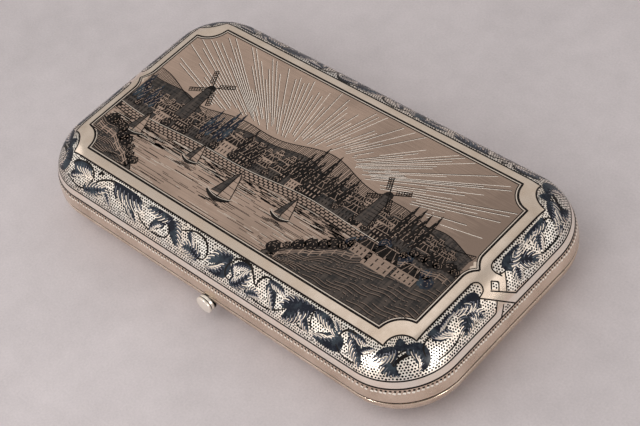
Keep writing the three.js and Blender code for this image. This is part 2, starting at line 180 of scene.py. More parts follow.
class BoxForm:
    """The closed box's outer surface in millimetres.

    In plan a foot point runs round an inner rectangle, counter-clockwise from the middle of the front, and
    the wall stands off it by the corner radius less an inset. Around, s counts along the wall where the inset
    is CORNER_REFERENCE. Across the lid, v counts down the shoulder from the panel's edge.
    """

    CORNER_REFERENCE = 2.5
    STEPS = 400

    def __init__(self, sizes):
        for name in SnuffBoxSizes.__annotations__:
            value = getattr(sizes, name)
            setattr(self, name, value if name == "shoulder_break" else value / MM)
        self.top = self.lid_level + self.lid_height
        self.half_x = self.box_length / 2 - self.corner_radius
        self.half_y = self.box_width / 2 - self.corner_radius
        self.corner_arc = np.pi / 2 * (self.corner_radius - self.CORNER_REFERENCE)
        legs = [2 * self.half_x, self.corner_arc, 2 * self.half_y, self.corner_arc] * 2
        self.knots = np.concatenate([[0.0], np.cumsum(legs)]) - self.half_x
        self.foot_x = self.half_x * np.array([-1, 1, 1, 1, 1, -1, -1, -1, -1])
        self.foot_y = self.half_y * np.array([-1, -1, -1, 1, 1, 1, 1, -1, -1])
        self.facing = np.radians([-90, -90, 0, 0, 90, 90, 180, 180, 270])
        self.round = self.knots[-1] - self.knots[0]
        self.side_middles = (self.knots[[0, 2, 4, 6]] + self.knots[[1, 3, 5, 7]]) / 2
        self.corner_middles = (self.knots[[1, 3, 5, 7]] + self.knots[[2, 4, 6, 8]]) / 2
        turn = np.linspace(self.shoulder_break, np.pi / 2, self.STEPS)
        self.inset, self.level, self.out, self.up = self.shoulder(turn)
        steps = np.hypot(np.diff(self.inset), np.diff(self.level))
        self.run = np.concatenate([[0.0], np.cumsum(steps)])
        self.edge = self.run[-1]

    def shoulder(self, turn):
        """Inset, level and outward normal of the shoulder: an ellipse from the break to a quarter turn."""
        run = self.shoulder_run / (1 - np.sin(self.shoulder_break))
        rise = self.lid_height / np.cos(self.shoulder_break)
        inset = self.shoulder_run - run * (np.sin(turn) - np.sin(self.shoulder_break))
        level = self.top - rise * (np.cos(self.shoulder_break) - np.cos(turn))
        size = np.hypot(rise * np.sin(turn), run * np.cos(turn))
        return inset, level, rise * np.sin(turn) / size, run * np.cos(turn) / size

    def belly(self, turn):
        """Inset, level and outward normal of the base: a quarter ellipse from the rim to the flat bottom."""
        inset = self.belly_run * (1 - np.cos(turn))
        level = self.base_height * (1 - np.sin(turn))
        size = np.hypot(self.base_height * np.cos(turn), self.belly_run * np.sin(turn))
        return inset, level, self.base_height * np.cos(turn) / size, -self.belly_run * np.sin(turn) / size

    def stand(self, s, stand_off, level, foot_scale=1.0):
        """Points at a stand-off from the foot line and at a level."""
        s = clean_turn(s, self.knots[0], self.knots[-1])
        facing = np.interp(s, self.knots, self.facing)
        x = foot_scale * np.interp(s, self.knots, self.foot_x) + stand_off * np.cos(facing)
        y = foot_scale * np.interp(s, self.knots, self.foot_y) + stand_off * np.sin(facing)
        return np.stack(np.broadcast_arrays(x, y, level), -1)

    def on_shoulder(self, chart, lift):
        """Chart points (s, v) on the lid, lifted along its normal. Above the panel's edge the lid is flat."""
        s, v = chart[..., 0], chart[..., 1]
        flat = v < 0
        inset = np.where(flat, self.shoulder_run - v, np.interp(v, self.run, self.inset))
        out = np.where(flat, 0.0, np.interp(v, self.run, self.out))
        up = np.where(flat, 1.0, np.interp(v, self.run, self.up))
        level = np.interp(v, self.run, self.level)
        return self.stand(s, self.corner_radius - inset + lift * out, level + lift * up)

    def on_plan(self, chart, lift):
        """Plan points (x, y) on the lid, lifted along its normal."""
        x, y = chart[..., 0], chart[..., 1]
        over_x = np.maximum(np.abs(x) - self.half_x, 0)
        over_y = np.maximum(np.abs(y) - self.half_y, 0)
        off = np.hypot(over_x, over_y)
        inset = self.corner_radius - off
        order = slice(None, None, -1)
        level = np.interp(inset, self.inset[order], self.level[order])
        out = np.where(inset > self.shoulder_run, 0.0, np.interp(inset, self.inset[order], self.out[order]))
        up = np.where(inset > self.shoulder_run, 1.0, np.interp(inset, self.inset[order], self.up[order]))
        scale = lift * out / np.maximum(off, 1e-6)
        return np.stack(
            [x + np.sign(x) * over_x * scale, y + np.sign(y) * over_y * scale, level + lift * up], -1
        )


# Meshes

SHARP_EDGE = np.radians(32)
WELD_DISTANCE = 1e-6


def mesh_object(name, points, quads, materials, rows=None):
    """An object from points in millimetres and four-cornered faces, with a material index for each face."""
    mesh = bpy.data.meshes.new(name)
    mesh.vertices.add(len(points))
    mesh.vertices.foreach_set("co", (np.asarray(points, float) * MM).ravel())
    mesh.loops.add(quads.size)
    mesh.loops.foreach_set("vertex_index", quads.astype(np.int32).ravel())
    mesh.polygons.add(len(quads))
    mesh.polygons.foreach_set("loop_start", np.arange(0, quads.size, 4, dtype=np.int32))
    for material in materials:
        mesh.materials.append(material)
    if rows is not None:
        mesh.polygons.foreach_set("material_index", rows.astype(np.int32))
    mesh.update(calc_edges=True)
    mesh.validate()
    mesh.shade_smooth()
    piece = bpy.data.objects.new(name, mesh)
    bpy.context.scene.collection.objects.link(piece)
    return piece


def weld(piece):
    """Merges the doubles of a piece and smooths it, keeping edges past SHARP_EDGE sharp."""
    work = bmesh.new()
    work.from_mesh(piece.data)
    bmesh.ops.remove_doubles(work, verts=work.verts, dist=WELD_DISTANCE)
    bmesh.ops.dissolve_degenerate(work, edges=work.edges, dist=WELD_DISTANCE / 10)
    work.to_mesh(piece.data)
    work.free()
    piece.data.shade_smooth()
    piece.data.set_sharp_from_angle(angle=SHARP_EDGE)


def carve(piece, cutters):
    """Takes cutters away from a piece, keeps the result as its mesh and removes the cutters."""
    for cutter in cutters:
        cut = piece.modifiers.new(cutter.name, "BOOLEAN")
        cut.operation = "DIFFERENCE"
        cut.solver = "EXACT"
        cut.material_mode = "TRANSFER"
        cut.object = cutter
    bpy.context.view_layer.update()
    view = bpy.context.evaluated_depsgraph_get()
    carved = bpy.data.meshes.new_from_object(piece.evaluated_get(view))
    if not carved.polygons:
        raise RuntimeError(f"nothing is left of {piece.name}")
    piece.modifiers.clear()
    old, name = piece.data, piece.data.name
    piece.data = carved
    bpy.data.meshes.remove(old)
    carved.name = name
    for cutter in cutters:
        bpy.data.meshes.remove(cutter.data)
    carved.shade_smooth()
    carved.set_sharp_from_angle(angle=SHARP_EDGE)


def grid_quads(count, rows, columns):
    """Faces of count grids of rows by columns points that stand one after another."""
    index = np.arange(count * rows * columns).reshape(count, rows, columns)
    corners = [index[:, :-1, :-1], index[:, 1:, :-1], index[:, 1:, 1:], index[:, :-1, 1:]]
    return np.stack(corners, -1).reshape(-1, 4)


def face_normals(points, quads):
    """Cross product of each face's diagonals."""
    corner = points[quads]
    return np.cross(corner[:, 2] - corner[:, 0], corner[:, 3] - corner[:, 1])


class Inlay:
    """Gathers grids of chart points, laid on the lid at a lift, into one piece that faces outwards."""

    # Weights that turn a place on the lid, seen from the middle of the bottom, into the way out of the box.
    OUTWARD = np.array([0.1, 0.2, 1.0])

    def __init__(self, form):
        self.form = form
        self.points, self.quads, self.rows, self.count = [], [], [], 0

    def lay(self, grids, lift, plan=False, tone=0):
        """Adds chart grids (n, rows, columns, 2) of the plan or the shoulder. Tone is a finish's number."""
        lay_on = self.form.on_plan if plan else self.form.on_shoulder
        count, rows, columns = grids.shape[:3]
        quads = grid_quads(count, rows, columns)
        self.points.append(lay_on(grids, lift).reshape(-1, 3))
        self.quads.append(quads + self.count)
        self.rows.append(np.full(len(quads), tone))
        self.count += count * rows * columns

    def piece(self, name, finishes, slot):
        """The gathered grids as one object on the lid, each face turned away from the box."""
        points, quads = np.concatenate(self.points), np.concatenate(self.quads)
        outward = points[quads].mean(1) * self.OUTWARD
        turned = (face_normals(points, quads) * outward).sum(1) < 0
        quads[turned] = quads[turned][:, ::-1]
        materials = [finish_named(finish) for finish in finishes]
        inlay = mesh_object(name, points, quads, materials, np.concatenate(self.rows))
        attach(inlay, "lid")
        return inlay


def ribbons(paths, half):
    """Flat strips along paths (n, m, 2): each point moved to both sides by half, square to the path."""
    along = np.gradient(paths, axis=1)
    across = np.stack([-along[..., 1], along[..., 0]], -1)
    across /= np.maximum(np.linalg.norm(along, axis=2, keepdims=True), 1e-9)
    half = np.broadcast_to(half, paths.shape[:2])[..., None]
    return np.stack([paths - across * half, paths + across * half], 2)


def widened(strips, columns):
    """Strips (n, m, 2, 2) cut into more columns across, so that wide ones follow a curve."""
    share = np.linspace(0, 1, columns)[:, None]
    return strips[:, :, :1] * (1 - share) + strips[:, :, 1:] * share


def strokes(starts, ends, half, points=2):
    """Straight ribbons from starts to ends, both (n, 2)."""
    q = np.linspace(0, 1, points)[None, :, None]
    return ribbons(starts[:, None] * (1 - q) + ends[:, None] * q, half)


def dots(centres, radius):
    """Eight-sided dots round centres (n, 2), each a grid of four rows by two."""
    turn = np.radians(np.array([[112.5, 67.5], [157.5, 22.5], [202.5, -22.5], [247.5, -67.5]]))
    ring = np.stack([np.cos(turn), np.sin(turn)], -1)
    radius = np.broadcast_to(radius, len(centres))[:, None, None, None]
    return centres[:, None, None] + radius * ring[None]


def between(x, low, high):
    """Upright fields between two lines: x, low and high are (n, m)."""
    return np.stack([np.stack([x, low], -1), np.stack([x, high], -1)], 1)


def cells_of(corners):
    """The cells of one grid of corners (rows, columns, 2), each a grid of two by two."""
    lower = np.stack([corners[:-1, :-1], corners[:-1, 1:]], 2)
    upper = np.stack([corners[1:, :-1], corners[1:, 1:]], 2)
    return np.stack([lower, upper], 2).reshape(-1, 2, 2, 2)


def bend(controls, q):
    """Quadratic curves (1-q)^2 a + 2 q (1-q) b + q^2 c through controls (n, 3, 2) at q (m)."""
    a, b, c = controls[:, 0, None], controls[:, 1, None], controls[:, 2, None]
    q = q[None, :, None]
    return (1 - q) ** 2 * a + 2 * q * (1 - q) * b + q**2 * c


def flowing(points, count):
    """A smooth path through points: a cubic between each two, its slopes set by their neighbours."""
    points = np.asarray(points, float)
    ends = np.concatenate([[2 * points[0] - points[1]], points, [2 * points[-1] - points[-2]]])
    place = np.linspace(0, len(points) - 1, count)
    k = np.minimum(place.astype(int), len(points) - 2)
    f = (place - k)[:, None]
    a, b, c, d = ends[k], ends[k + 1], ends[k + 2], ends[k + 3]
    return 0.5 * (2 * b + (c - a) * f + (2 * a - 5 * b + 4 * c - d) * f**2 + (3 * b - a - 3 * c + d) * f**3)


def inside(points, outline):
    """Which points lie in an outline, by counting the edges that a line to the right crosses."""
    x, y = points[..., 0], points[..., 1]
    found = np.zeros(x.shape, bool)
    outline = np.asarray(outline, float)
    for (x0, y0), (x1, y1) in zip(outline, np.roll(outline, -1, 0)):
        crosses = (y0 > y) != (y1 > y)
        rise = y1 - y0 if y1 != y0 else 1e-9
        found ^= crosses & (x < x0 + (y - y0) / rise * (x1 - x0))
    return found


# Finishes


class Wire:
    """A node's output. Arithmetic on it adds Math nodes to its finish."""

    def __init__(self, finish, socket):
        self.finish, self.socket = finish, socket

    def _math(self, operation, first, second):
        return self.finish.node("ShaderNodeMath", {"operation": operation}, {0: first, 1: second})

    def __add__(self, other):
        return self._math("ADD", self, other)

    __radd__ = __add__

    def __rsub__(self, other):
        return self._math("SUBTRACT", other, self)

    def __mul__(self, other):
        return self._math("MULTIPLY", self, other)


class Finish:
    """A material and the nodes that are added to it."""

    def __init__(self, name):
        self.material = bpy.data.materials.new(name)
        self.material.use_nodes = True
        self.tree = self.material.node_tree
        self.tree.nodes.clear()

    def node(self, kind, settings=None, inputs=None, output=0):
        """Adds a node: its settings first, then the values or links of its sockets. Returns one output."""
        made = self.tree.nodes.new(kind)
        for name, value in (settings or {}).items():
            setattr(made, name, value)
        for key, value in (inputs or {}).items():
            socket = made.inputs[key]
            if isinstance(value, Wire):
                self.tree.links.new(value.socket, socket)
            elif socket.type == "RGBA":
                socket.default_value = (*value, 1.0)
            else:
                socket.default_value = value
        return Wire(self, made.outputs[output]) if made.outputs else None

    def place(self, scale=(1, 1, 1), turn=(0, 0, 0)):
        """Object coordinates in millimetres, turned and scaled."""
        spot = self.node("ShaderNodeTexCoord", output="Object")
        sizes = tuple(value / MM for value in scale)
        return self.node("ShaderNodeMapping", {}, {"Vector": spot, "Rotation": turn, "Scale": sizes})

    def noise(self, where, scale, detail=3.0, rough=0.55):
        """Soft noise from nought to one, scale in waves for each millimetre."""
        values = {"Vector": where, "Scale": scale, "Detail": detail, "Roughness": rough}
        return self.node("ShaderNodeTexNoise", {}, values)

    def spread(self, value, low, high):
        """A value stretched so that low becomes nought and high becomes one, held between them."""
        values = {"Value": value, "From Min": low, "From Max": high}
        return self.node("ShaderNodeMapRange", {"clamp": True}, values)

    def mix(self, share, first, second):
        """Two colours mixed."""
        return self.node("ShaderNodeMix", {"data_type": "RGBA"}, {0: share, 6: first, 7: second}, 2)

    def bump(self, height, strength, depth):
        """A normal bent by a height, depth in millimetres."""
        values = {"Strength": strength, "Distance": depth * MM, "Height": height}
        return self.node("ShaderNodeBump", {}, values)

    def surface(self, **sockets):
        """Ends the finish in a Principled shader with the given sockets."""
        names = {key.replace("_", " ").title().replace("Ior", "IOR"): value for key, value in sockets.items()}
        shader = self.node("ShaderNodeBsdfPrincipled", {}, names)
        self.node("ShaderNodeOutputMaterial", {}, {"Surface": shader})
        return self.material


def worn_metal(name, bright, dull, gloss, metallic=1.0, patch=0.22, grain=1.0, drag=(0.35, 9.0, 9.0)):
    """Metal with dull patches, fine scratches drawn out along one way and a roughness between two values.

    Patches are soft noise; scratches are noise pressed thin across the drag. Both shift the gloss, patches
    the colour too, and scratches the relief.
    """
    finish = Finish(name)
    where = finish.place()
    patches = finish.spread(finish.noise(where, patch, 5.0, 0.6), 0.36, 0.68)
    specks = finish.spread(finish.noise(where, 3.2, 2.0), 0.60, 0.78)
    scratches = finish.noise(finish.place(drag, (0.0, 0.0, 0.5)), 1.0, 2.0)
    cross = finish.noise(finish.place(drag, (0.0, 0.0, -0.9)), 1.3, 2.0)
    share = patches * 0.75 + specks * 0.25
    rough = share * (gloss[1] - gloss[0]) + scratches * 0.06 + (gloss[0] - 0.03)
    normal = finish.bump(scratches * 0.5 + cross * 0.5 + specks * -0.25, 0.12 * grain, 0.02)
    tone = finish.mix(share, bright, dull)
    return finish.surface(base_color=tone, roughness=rough, metallic=metallic, normal=normal)


def niello_inlay(name, dark, worn, gloss):
    """Niello: near black, rubbed paler in patches, with small pits that take the gloss off."""
    finish = Finish(name)
    where = finish.place()
    rubbed = finish.spread(finish.noise(where, 0.45, 4.0, 0.6), 0.46, 0.74)
    pits = finish.spread(finish.noise(where, 5.0, 2.0), 0.56, 0.72)
    tone = finish.mix(rubbed, dark, worn)
    rough = rubbed * (gloss[1] - gloss[0]) + pits * 0.12 + gloss[0]
    normal = finish.bump(1 - pits, 0.15, 0.01)
    return finish.surface(
        base_color=tone, roughness=rough, metallic=0.0, normal=normal, specular_ior_level=0.12
    )


def satin_ground(name, bright, dull):
    """Ground of the picture: close engraved lines along the panel over soft patches, with painted shade that
    darkens it towards +X.
    """
    finish = Finish(name)
    where = finish.place()
    patches = finish.spread(finish.noise(where, 0.09, 4.0, 0.6), 0.34, 0.70)
    lines = finish.noise(finish.place((0.12, 5.0, 5.0)), 1.0, 2.0)
    grain = finish.noise(where, 4.0, 2.0)
    # Painted shade: the ground darkens along +X, where the panel reflects less light.
    along = finish.spread(finish.node("ShaderNodeSeparateXYZ", {}, {0: where}), -6.0, 36.0)
    share = patches * 0.40 + finish.spread(lines, 0.35, 0.65) * 0.25 + along * 0.70
    rough = share * 0.10 + grain * 0.08 + 0.30
    normal = finish.bump(lines * 0.7 + grain * 0.3, 0.2, 0.02)
    tone = finish.mix(share, bright, dull)
    return finish.surface(base_color=tone, roughness=rough, metallic=1.0, normal=normal)


def hatched_ground(name, bright, dark):
    """Engraved shade: nearly all niello, with a little silver left between upright and level strokes."""
    finish = Finish(name)
    upright = finish.noise(finish.place((2.6, 0.25, 1.0), (0.0, 0.0, 0.12)), 1.0, 1.0)
    level = finish.noise(finish.place((0.25, 2.4, 1.0), (0.0, 0.0, 0.2)), 1.0, 1.0)
    share = finish.spread(upright, 0.40, 0.58) * 0.06 + finish.spread(level, 0.50, 0.64) * 0.04 + 0.91
    tone = finish.mix(share, bright, dark)
    return finish.surface(base_color=tone, roughness=share * 0.15 + 0.32, metallic=1 - share * 0.9)


def floor_paper(name, tone, pale=1.125, dark=0.825):
    """Matt paper: faint clouds, smaller blotches and a faint tooth, between a paler and a darker tone."""
    finish = Finish(name)
    where = finish.place()
    clouds = finish.spread(finish.noise(where, 0.03, 3.0), 0.3, 0.7)
    blotches = finish.spread(finish.noise(where, 0.22, 3.0), 0.3, 0.7)
    tooth = finish.spread(finish.noise(where, 2.6, 2.0), 0.25, 0.75)
    share = clouds * 0.36 + blotches * 0.24 + tooth * 0.40
    shade = finish.mix(share, tuple(pale * value for value in tone), tuple(dark * value for value in tone))
    return finish.surface(
        base_color=shade,
        roughness=0.85 + tooth * 0.05,
        normal=finish.bump(tooth, 0.08, 0.05),
        specular_ior_level=0.2,
    )


# Scratches of the plain bands run round the box.
BAND_DRAG = (0.08, 0.08, 4.0)

# Finishes of the box: maker, the two colours in the sidebar, and what else the maker is told.
RECIPES = {
    "polished silver": (worn_metal, "silver", "silver_tarnish", {"gloss": (0.16, 0.30)}),
    "warm silver": (
        worn_metal,
        "band",
        "band_tarnish",
        {"gloss": (0.20, 0.36), "patch": 0.16, "grain": 3.0, "drag": BAND_DRAG},
    ),
    "base silver": (worn_metal, "band", "base_tarnish", {"gloss": (0.24, 0.42), "patch": 0.16, "grain": 1.3}),
    "bright cut": (worn_metal, "cut", "silver", {"gloss": (0.22, 0.34), "grain": 2.0}),
    "frosted silver": (worn_metal, "frosted", "silver", {"gloss": (0.34, 0.46), "grain": 2.0}),
    "white silver": (worn_metal, "white", "silver", {"gloss": (0.14, 0.26)}),
    # Near-matt white, so that it reads bright: the picture's white rays, and the painted highlights of the
    # beads.
    "white cut": (worn_metal, "white", "frosted", {"gloss": (0.40, 0.55), "metallic": 0.05}),
    "button silver": (worn_metal, "white", "frosted", {"gloss": (0.30, 0.42), "metallic": 0.65}),
    "gilt": (worn_metal, "gilt", "gilt_worn", {"gloss": (0.20, 0.34), "patch": 0.12}),
    "steel": (worn_metal, "steel", "steel_dark", {"gloss": (0.28, 0.44), "patch": 0.5}),
    "satin silver": (satin_ground, "satin", "satin_tarnish", {}),
    "hatched silver": (hatched_ground, "satin", "niello", {}),
    "black niello": (niello_inlay, "niello", "niello_worn", {"gloss": (0.34, 0.50)}),
    "leaf niello": (niello_inlay, "leaf", "leaf_worn", {"gloss": (0.24, 0.42)}),
    "rubbed leaf": (niello_inlay, "leaf_rubbed", "leaf_worn", {"gloss": (0.30, 0.45)}),
    # Painted shade: near black, for the dark in the lid's seam, in the bores and on the button's groove and
    # barrel.
    "grime": (niello_inlay, "niello", "niello_worn", {"gloss": (0.55, 0.75)}),
}
FINISHES = {}


def finish_named(name):
    """A finish of this box, made once from the colours in the sidebar."""
    if name not in FINISHES:
        colours = bpy.context.scene.snuff_box_colours
        maker, first, second, settings = RECIPES[name]
        tones = [tuple(getattr(colours, key)) for key in (first, second)]
        FINISHES[name] = maker(name.replace(" ", "_"), *tones, **settings)
    return FINISHES[name]


# Skins

# The two black bands round the lid, down the shoulder from the panel's edge.
BAND_UP = 7.9
BAND_LOW = 9.3


def around(form, corner_steps=28, long_steps=24, short_steps=10):
    """Places along the plan, close in the corners, without the closing one."""
    steps = [long_steps, corner_steps, short_steps, corner_steps] * 2
    legs = [np.linspace(a, b, n, endpoint=False) for a, b, n in zip(form.knots, form.knots[1:], steps)]
    return np.concatenate(legs)


def shell(form, name, section, finishes, rows):
    """A closed shell: a section of stand-off, level and foot scale carried round the plan.

    The section starts and ends on the middle of the box, so that both its ends close in a point.
    """
    s = around(form)
    off, level, scale = (np.array(column)[:, None] for column in zip(*section))
    points = form.stand(s[None], off, level, scale)
    closed = np.concatenate([points, points[:, :1]], 1)
    quads = grid_quads(1, *closed.shape[:2])
    materials = [finish_named(finish) for finish in finishes]
    piece = mesh_object(name, closed.reshape(-1, 3), quads, materials, np.repeat(rows, len(s)))
    weld(piece)
    return piece


def quarter(off, level, radius, start, steps=5):
    """A rounded edge of a section: a quarter turn back from start round a stand-off and a level."""
    turn = np.radians(start) - np.linspace(0, np.pi / 2, steps)
    return [(off + radius * np.cos(t), level + radius * np.sin(t), 1.0) for t in turn]


def tube(name, radius, start, end, axis, finish, sides=64):
    """A closed round bar between two points along an axis, X or Y: a cutter that leaves its finish."""
    turn = np.linspace(0, 2 * np.pi, sides + 1)
    reach = np.array([0.0, radius, radius, 0.0])[:, None]
    along = np.array([start[axis], start[axis], end[axis], end[axis]])[:, None] + 0 * turn[None]
    side, up = reach * np.cos(turn), reach * np.sin(turn)
    if axis == 0:
        points = np.stack([along, start[1] - side, start[2] + up], -1)
    else:
        points = np.stack([start[0] + side, along, start[2] + up], -1)
    quads = grid_quads(1, 4, sides + 1)[:, ::-1]
    cutter = mesh_object(name, points.reshape(-1, 3), quads, [finish_named(finish)])
    weld(cutter)
    return cutter


def plate(level):
    """The flat middle of a section, from the middle of the box out to the foot line."""
    return [(0.0, level, scale) for scale in (0.0, 0.5, 1.0)]


def hinge_trough(form):
    """The round clearance of the hinge's barrel."""
    y = form.box_width / 2
    start, end = (-form.trough_half, y, form.hinge_level), (form.trough_half, y, form.hinge_level)
    return tube("trough", form.trough_radius, start, end, 0, "warm silver")


class SNUFF_OT_lid_skin(bpy.types.Operator):
    """Lid: silver outside, gilt inside, with rounded lips, a seam of painted shade and the hinge's trough"""

    bl_idname = "snuff.lid_skin"
    bl_label = "Lid skin"

    # Height of the seam's row at the foot of the wall, which takes painted shade.
    SEAM_HEIGHT = 0.13
    # Rows of faces down to the upper band, between the two bands, and down to the seam.
    BORDER_ROWS, FILLET_ROWS, BAND_ROWS = 35, 6, 16

    def execute(self, context):
        form = BoxForm(context.scene.snuff_box_sizes)
        depth, edge, sheet, radius = form.skin_depth, form.lip_round, form.lid_sheet, form.corner_radius
        lip = form.edge - edge
        seam = lip - self.SEAM_HEIGHT
        spans = (
            (0.0, BAND_UP, self.BORDER_ROWS),
            (BAND_UP, BAND_LOW, self.FILLET_ROWS),
            (BAND_LOW, seam, self.BAND_ROWS),
            (seam, lip, 1),
        )
        v = np.concatenate([np.linspace(*span, endpoint=False) for span in spans] + [[lip]])
        turn = np.interp(v, form.run, np.linspace(form.shoulder_break, np.pi / 2, form.STEPS))
        inset, level, out, up = form.shoulder(turn)
        outside = [(o, z, 1.0) for o, z in zip(radius - inset - depth * out, level - depth * up)]
        inner_off, inner_z = radius - inset - sheet * out, level - sheet * up
        inside_wall = [(o, z, 1.0) for o, z in zip(inner_off, inner_z) if z > form.lid_level + edge][::-1]
        lip_outer = quarter(outside[-1][0] - edge, form.lid_level + edge, edge, 0)
        lip_inner = quarter(inside_wall[0][0] + edge, form.lid_level + edge, edge, -90)
        crown, roof = plate(outside[0][1]), plate(inside_wall[-1][1])[::-1]
        section = crown + outside + lip_outer[1:] + lip_inner + inside_wall[1:] + roof
        fillet = len(crown) + self.BORDER_ROWS
        wall = len(crown) + len(outside)
        lips = wall + len(lip_outer) + len(lip_inner)
        finishes = ["polished silver", "white silver", "warm silver", "gilt", "grime"]
        rows = np.zeros(len(section) - 1)
        rows[fillet:] = finishes.index("white silver")
        rows[fillet + self.FILLET_ROWS :] = finishes.index("warm silver")
        rows[lips - 3 :] = finishes.index("gilt")
        # The seam: the wall's last row and the outer lip take painted shade, for the dark gap between lid and
        # base.
        rows[wall - 2 : wall + len(lip_outer) - 2] = finishes.index("grime")
        skin = shell(form, "lid_skin", section, finishes, rows)
        carve(skin, [hinge_trough(form)])
        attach(skin, "lid")
        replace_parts(skin, "lid_shell")
        return {"FINISHED"}


class SNUFF_OT_base_skin(bpy.types.Operator):
    """Base: brown silver with a rubbed edge, gilt inside, with the hinge's trough and the button's bores,
    whose walls take painted shade
    """

    bl_idname = "snuff.base_skin"
    bl_label = "Base skin"

    BELLY_ROWS = 60
    # How far the bores' cutters start before the wall, and how far the stem's one goes in.
    BORE_AHEAD = 3
    STEM_BORE_DEPTH = 6

    def execute(self, context):
        form = BoxForm(context.scene.snuff_box_sizes)
        depth, edge, sheet, radius = form.skin_depth, form.lip_round, form.base_sheet, form.corner_radius
        inset, level, out, up = form.belly(np.linspace(0, np.pi / 2, self.BELLY_ROWS))
        outer_off, outer_z = radius - inset - depth * out, level - depth * up
        inner_off, inner_z = radius - inset - sheet * out, level - sheet * up
        rim_off, rim_z = radius - form.rim_width, form.base_height - edge
        hollow = [(o, z, 1.0) for o, z in zip(inner_off, inner_z) if o < rim_off - form.ledge_width][::-1]
        belly = [(o, z, 1.0) for o, z in zip(outer_off, outer_z) if z < rim_z]
        rim = quarter(rim_off + edge, rim_z, edge, 180)
        brow = quarter(belly[0][0] - edge, rim_z, edge, 90)
        floor, bottom = plate(hollow[0][1]), plate(belly[-1][1])[::-1]
        ledge = (rim_off, hollow[-1][1], 1.0)
        section = floor + hollow + [ledge] + rim + brow + belly[1:] + bottom
        flat = len(floor) + len(hollow) + len(rim)
        finishes = ["base silver", "gilt", "warm silver"]
        rows = np.full(len(section) - 1, finishes.index("gilt"))
        rows[flat - 1 :] = finishes.index("base silver")
        rows[flat + 1 : flat + 1 + len(brow)] = finishes.index("warm silver")
        skin = shell(form, "base_skin", section, finishes, rows)
        front, level = -form.box_width / 2, form.button_level
        outside, seat = (0, front - self.BORE_AHEAD, level), (0, front + form.rim_width, level)
        # The bores' walls take the cutters' painted shade, for the dark in the gap round the button and its
        # stem.
        head = tube("head_bore", form.button_bore, outside, seat, 1, "grime")
        stem_end = (0, front + self.STEM_BORE_DEPTH, level)
        stem = tube("stem_bore", form.stem_bore, outside, stem_end, 1, "grime")
        carve(skin, [hinge_trough(form), head, stem])
        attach(skin, "base")
        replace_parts(skin, "base_pan")
        return {"FINISHED"}


class SNUFF_OT_push_button(bpy.types.Operator):
    """Push button: a flat-faced flange, a groove and a collar behind it, and a barrel; groove and barrel take
    painted shade
    """

    bl_idname = "snuff.push_button"
    bl_label = "Push button"

    # The flange: how much wider than the solid's head, its edge's rounding, its face's swell, and how far the
    # face lies behind the solid's.
    FLANGE_MORE = 0.07
    FLANGE_ROUND = 0.15
    FACE_DOME = 0.08
    FACE_SINK = 0.01
    # Behind the face: step in from the flange's edge, and how far back.
    GROOVE = ((0.0, 0.42), (0.04, 0.48), (0.20, 0.54), (0.20, 0.60))
    COLLAR = ((0.12, 0.67), (0.08, 0.74), (0.08, 1.16))
    BARREL_STEP = 0.08
    BARREL_CHAMFER = 0.05
    SIDES = 64

    def execute(self, context):
        form = BoxForm(context.scene.snuff_box_sizes)
        low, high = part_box("push_button")
        face, back, radius = low.y / MM, high.y / MM, form.button_radius + self.FLANGE_MORE
        rounding, dome = self.FLANGE_ROUND, self.FACE_DOME
        turn = np.linspace(0, np.pi / 2, 7)
        q = np.linspace(0, 1, 6)[:-1]
        flat = radius - rounding
        front = np.stack([flat * q, dome * q**2], -1)
        edge = np.stack([flat + rounding * np.sin(turn), dome + rounding - rounding * np.cos(turn)], -1)
        behind = [(radius - step, away) for step, away in self.GROOVE + self.COLLAR]
        barrel_radius, barrel_end = radius - self.BARREL_STEP, back - face
        barrel = [
            (barrel_radius, barrel_end - self.BARREL_CHAMFER),
            (barrel_radius - self.BARREL_CHAMFER, barrel_end),
            (0.0, barrel_end),
        ]
        profile = np.concatenate([front, edge, behind, barrel]) + (0.0, face + self.FACE_SINK)
        profile[-len(barrel) :, 1] -= self.FACE_SINK
        round_turn = np.linspace(0, 2 * np.pi, self.SIDES + 1)
        x = profile[:, :1] * np.cos(round_turn)
        z = form.button_level + profile[:, :1] * np.sin(round_turn)
        y = profile[:, 1:] + 0 * x
        points = np.stack([x, y, z], -1)
        quads = grid_quads(1, *points.shape[:2])
        rows = np.zeros(len(profile) - 1)
        # Groove and barrel take painted shade, for the dark in the groove and behind the collar.
        groove = len(front) + len(edge) + 2
        rows[groove : groove + 2] = 1
        rows[-len(barrel) :] = 1
        finishes = [finish_named("button silver"), finish_named("grime")]
        rows = np.repeat(rows, self.SIDES)
        piece = mesh_object("button_head", points.reshape(-1, 3), quads, finishes, rows)
        weld(piece)
        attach(piece, "button")
        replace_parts(piece, "push_button")
        return {"FINISHED"}


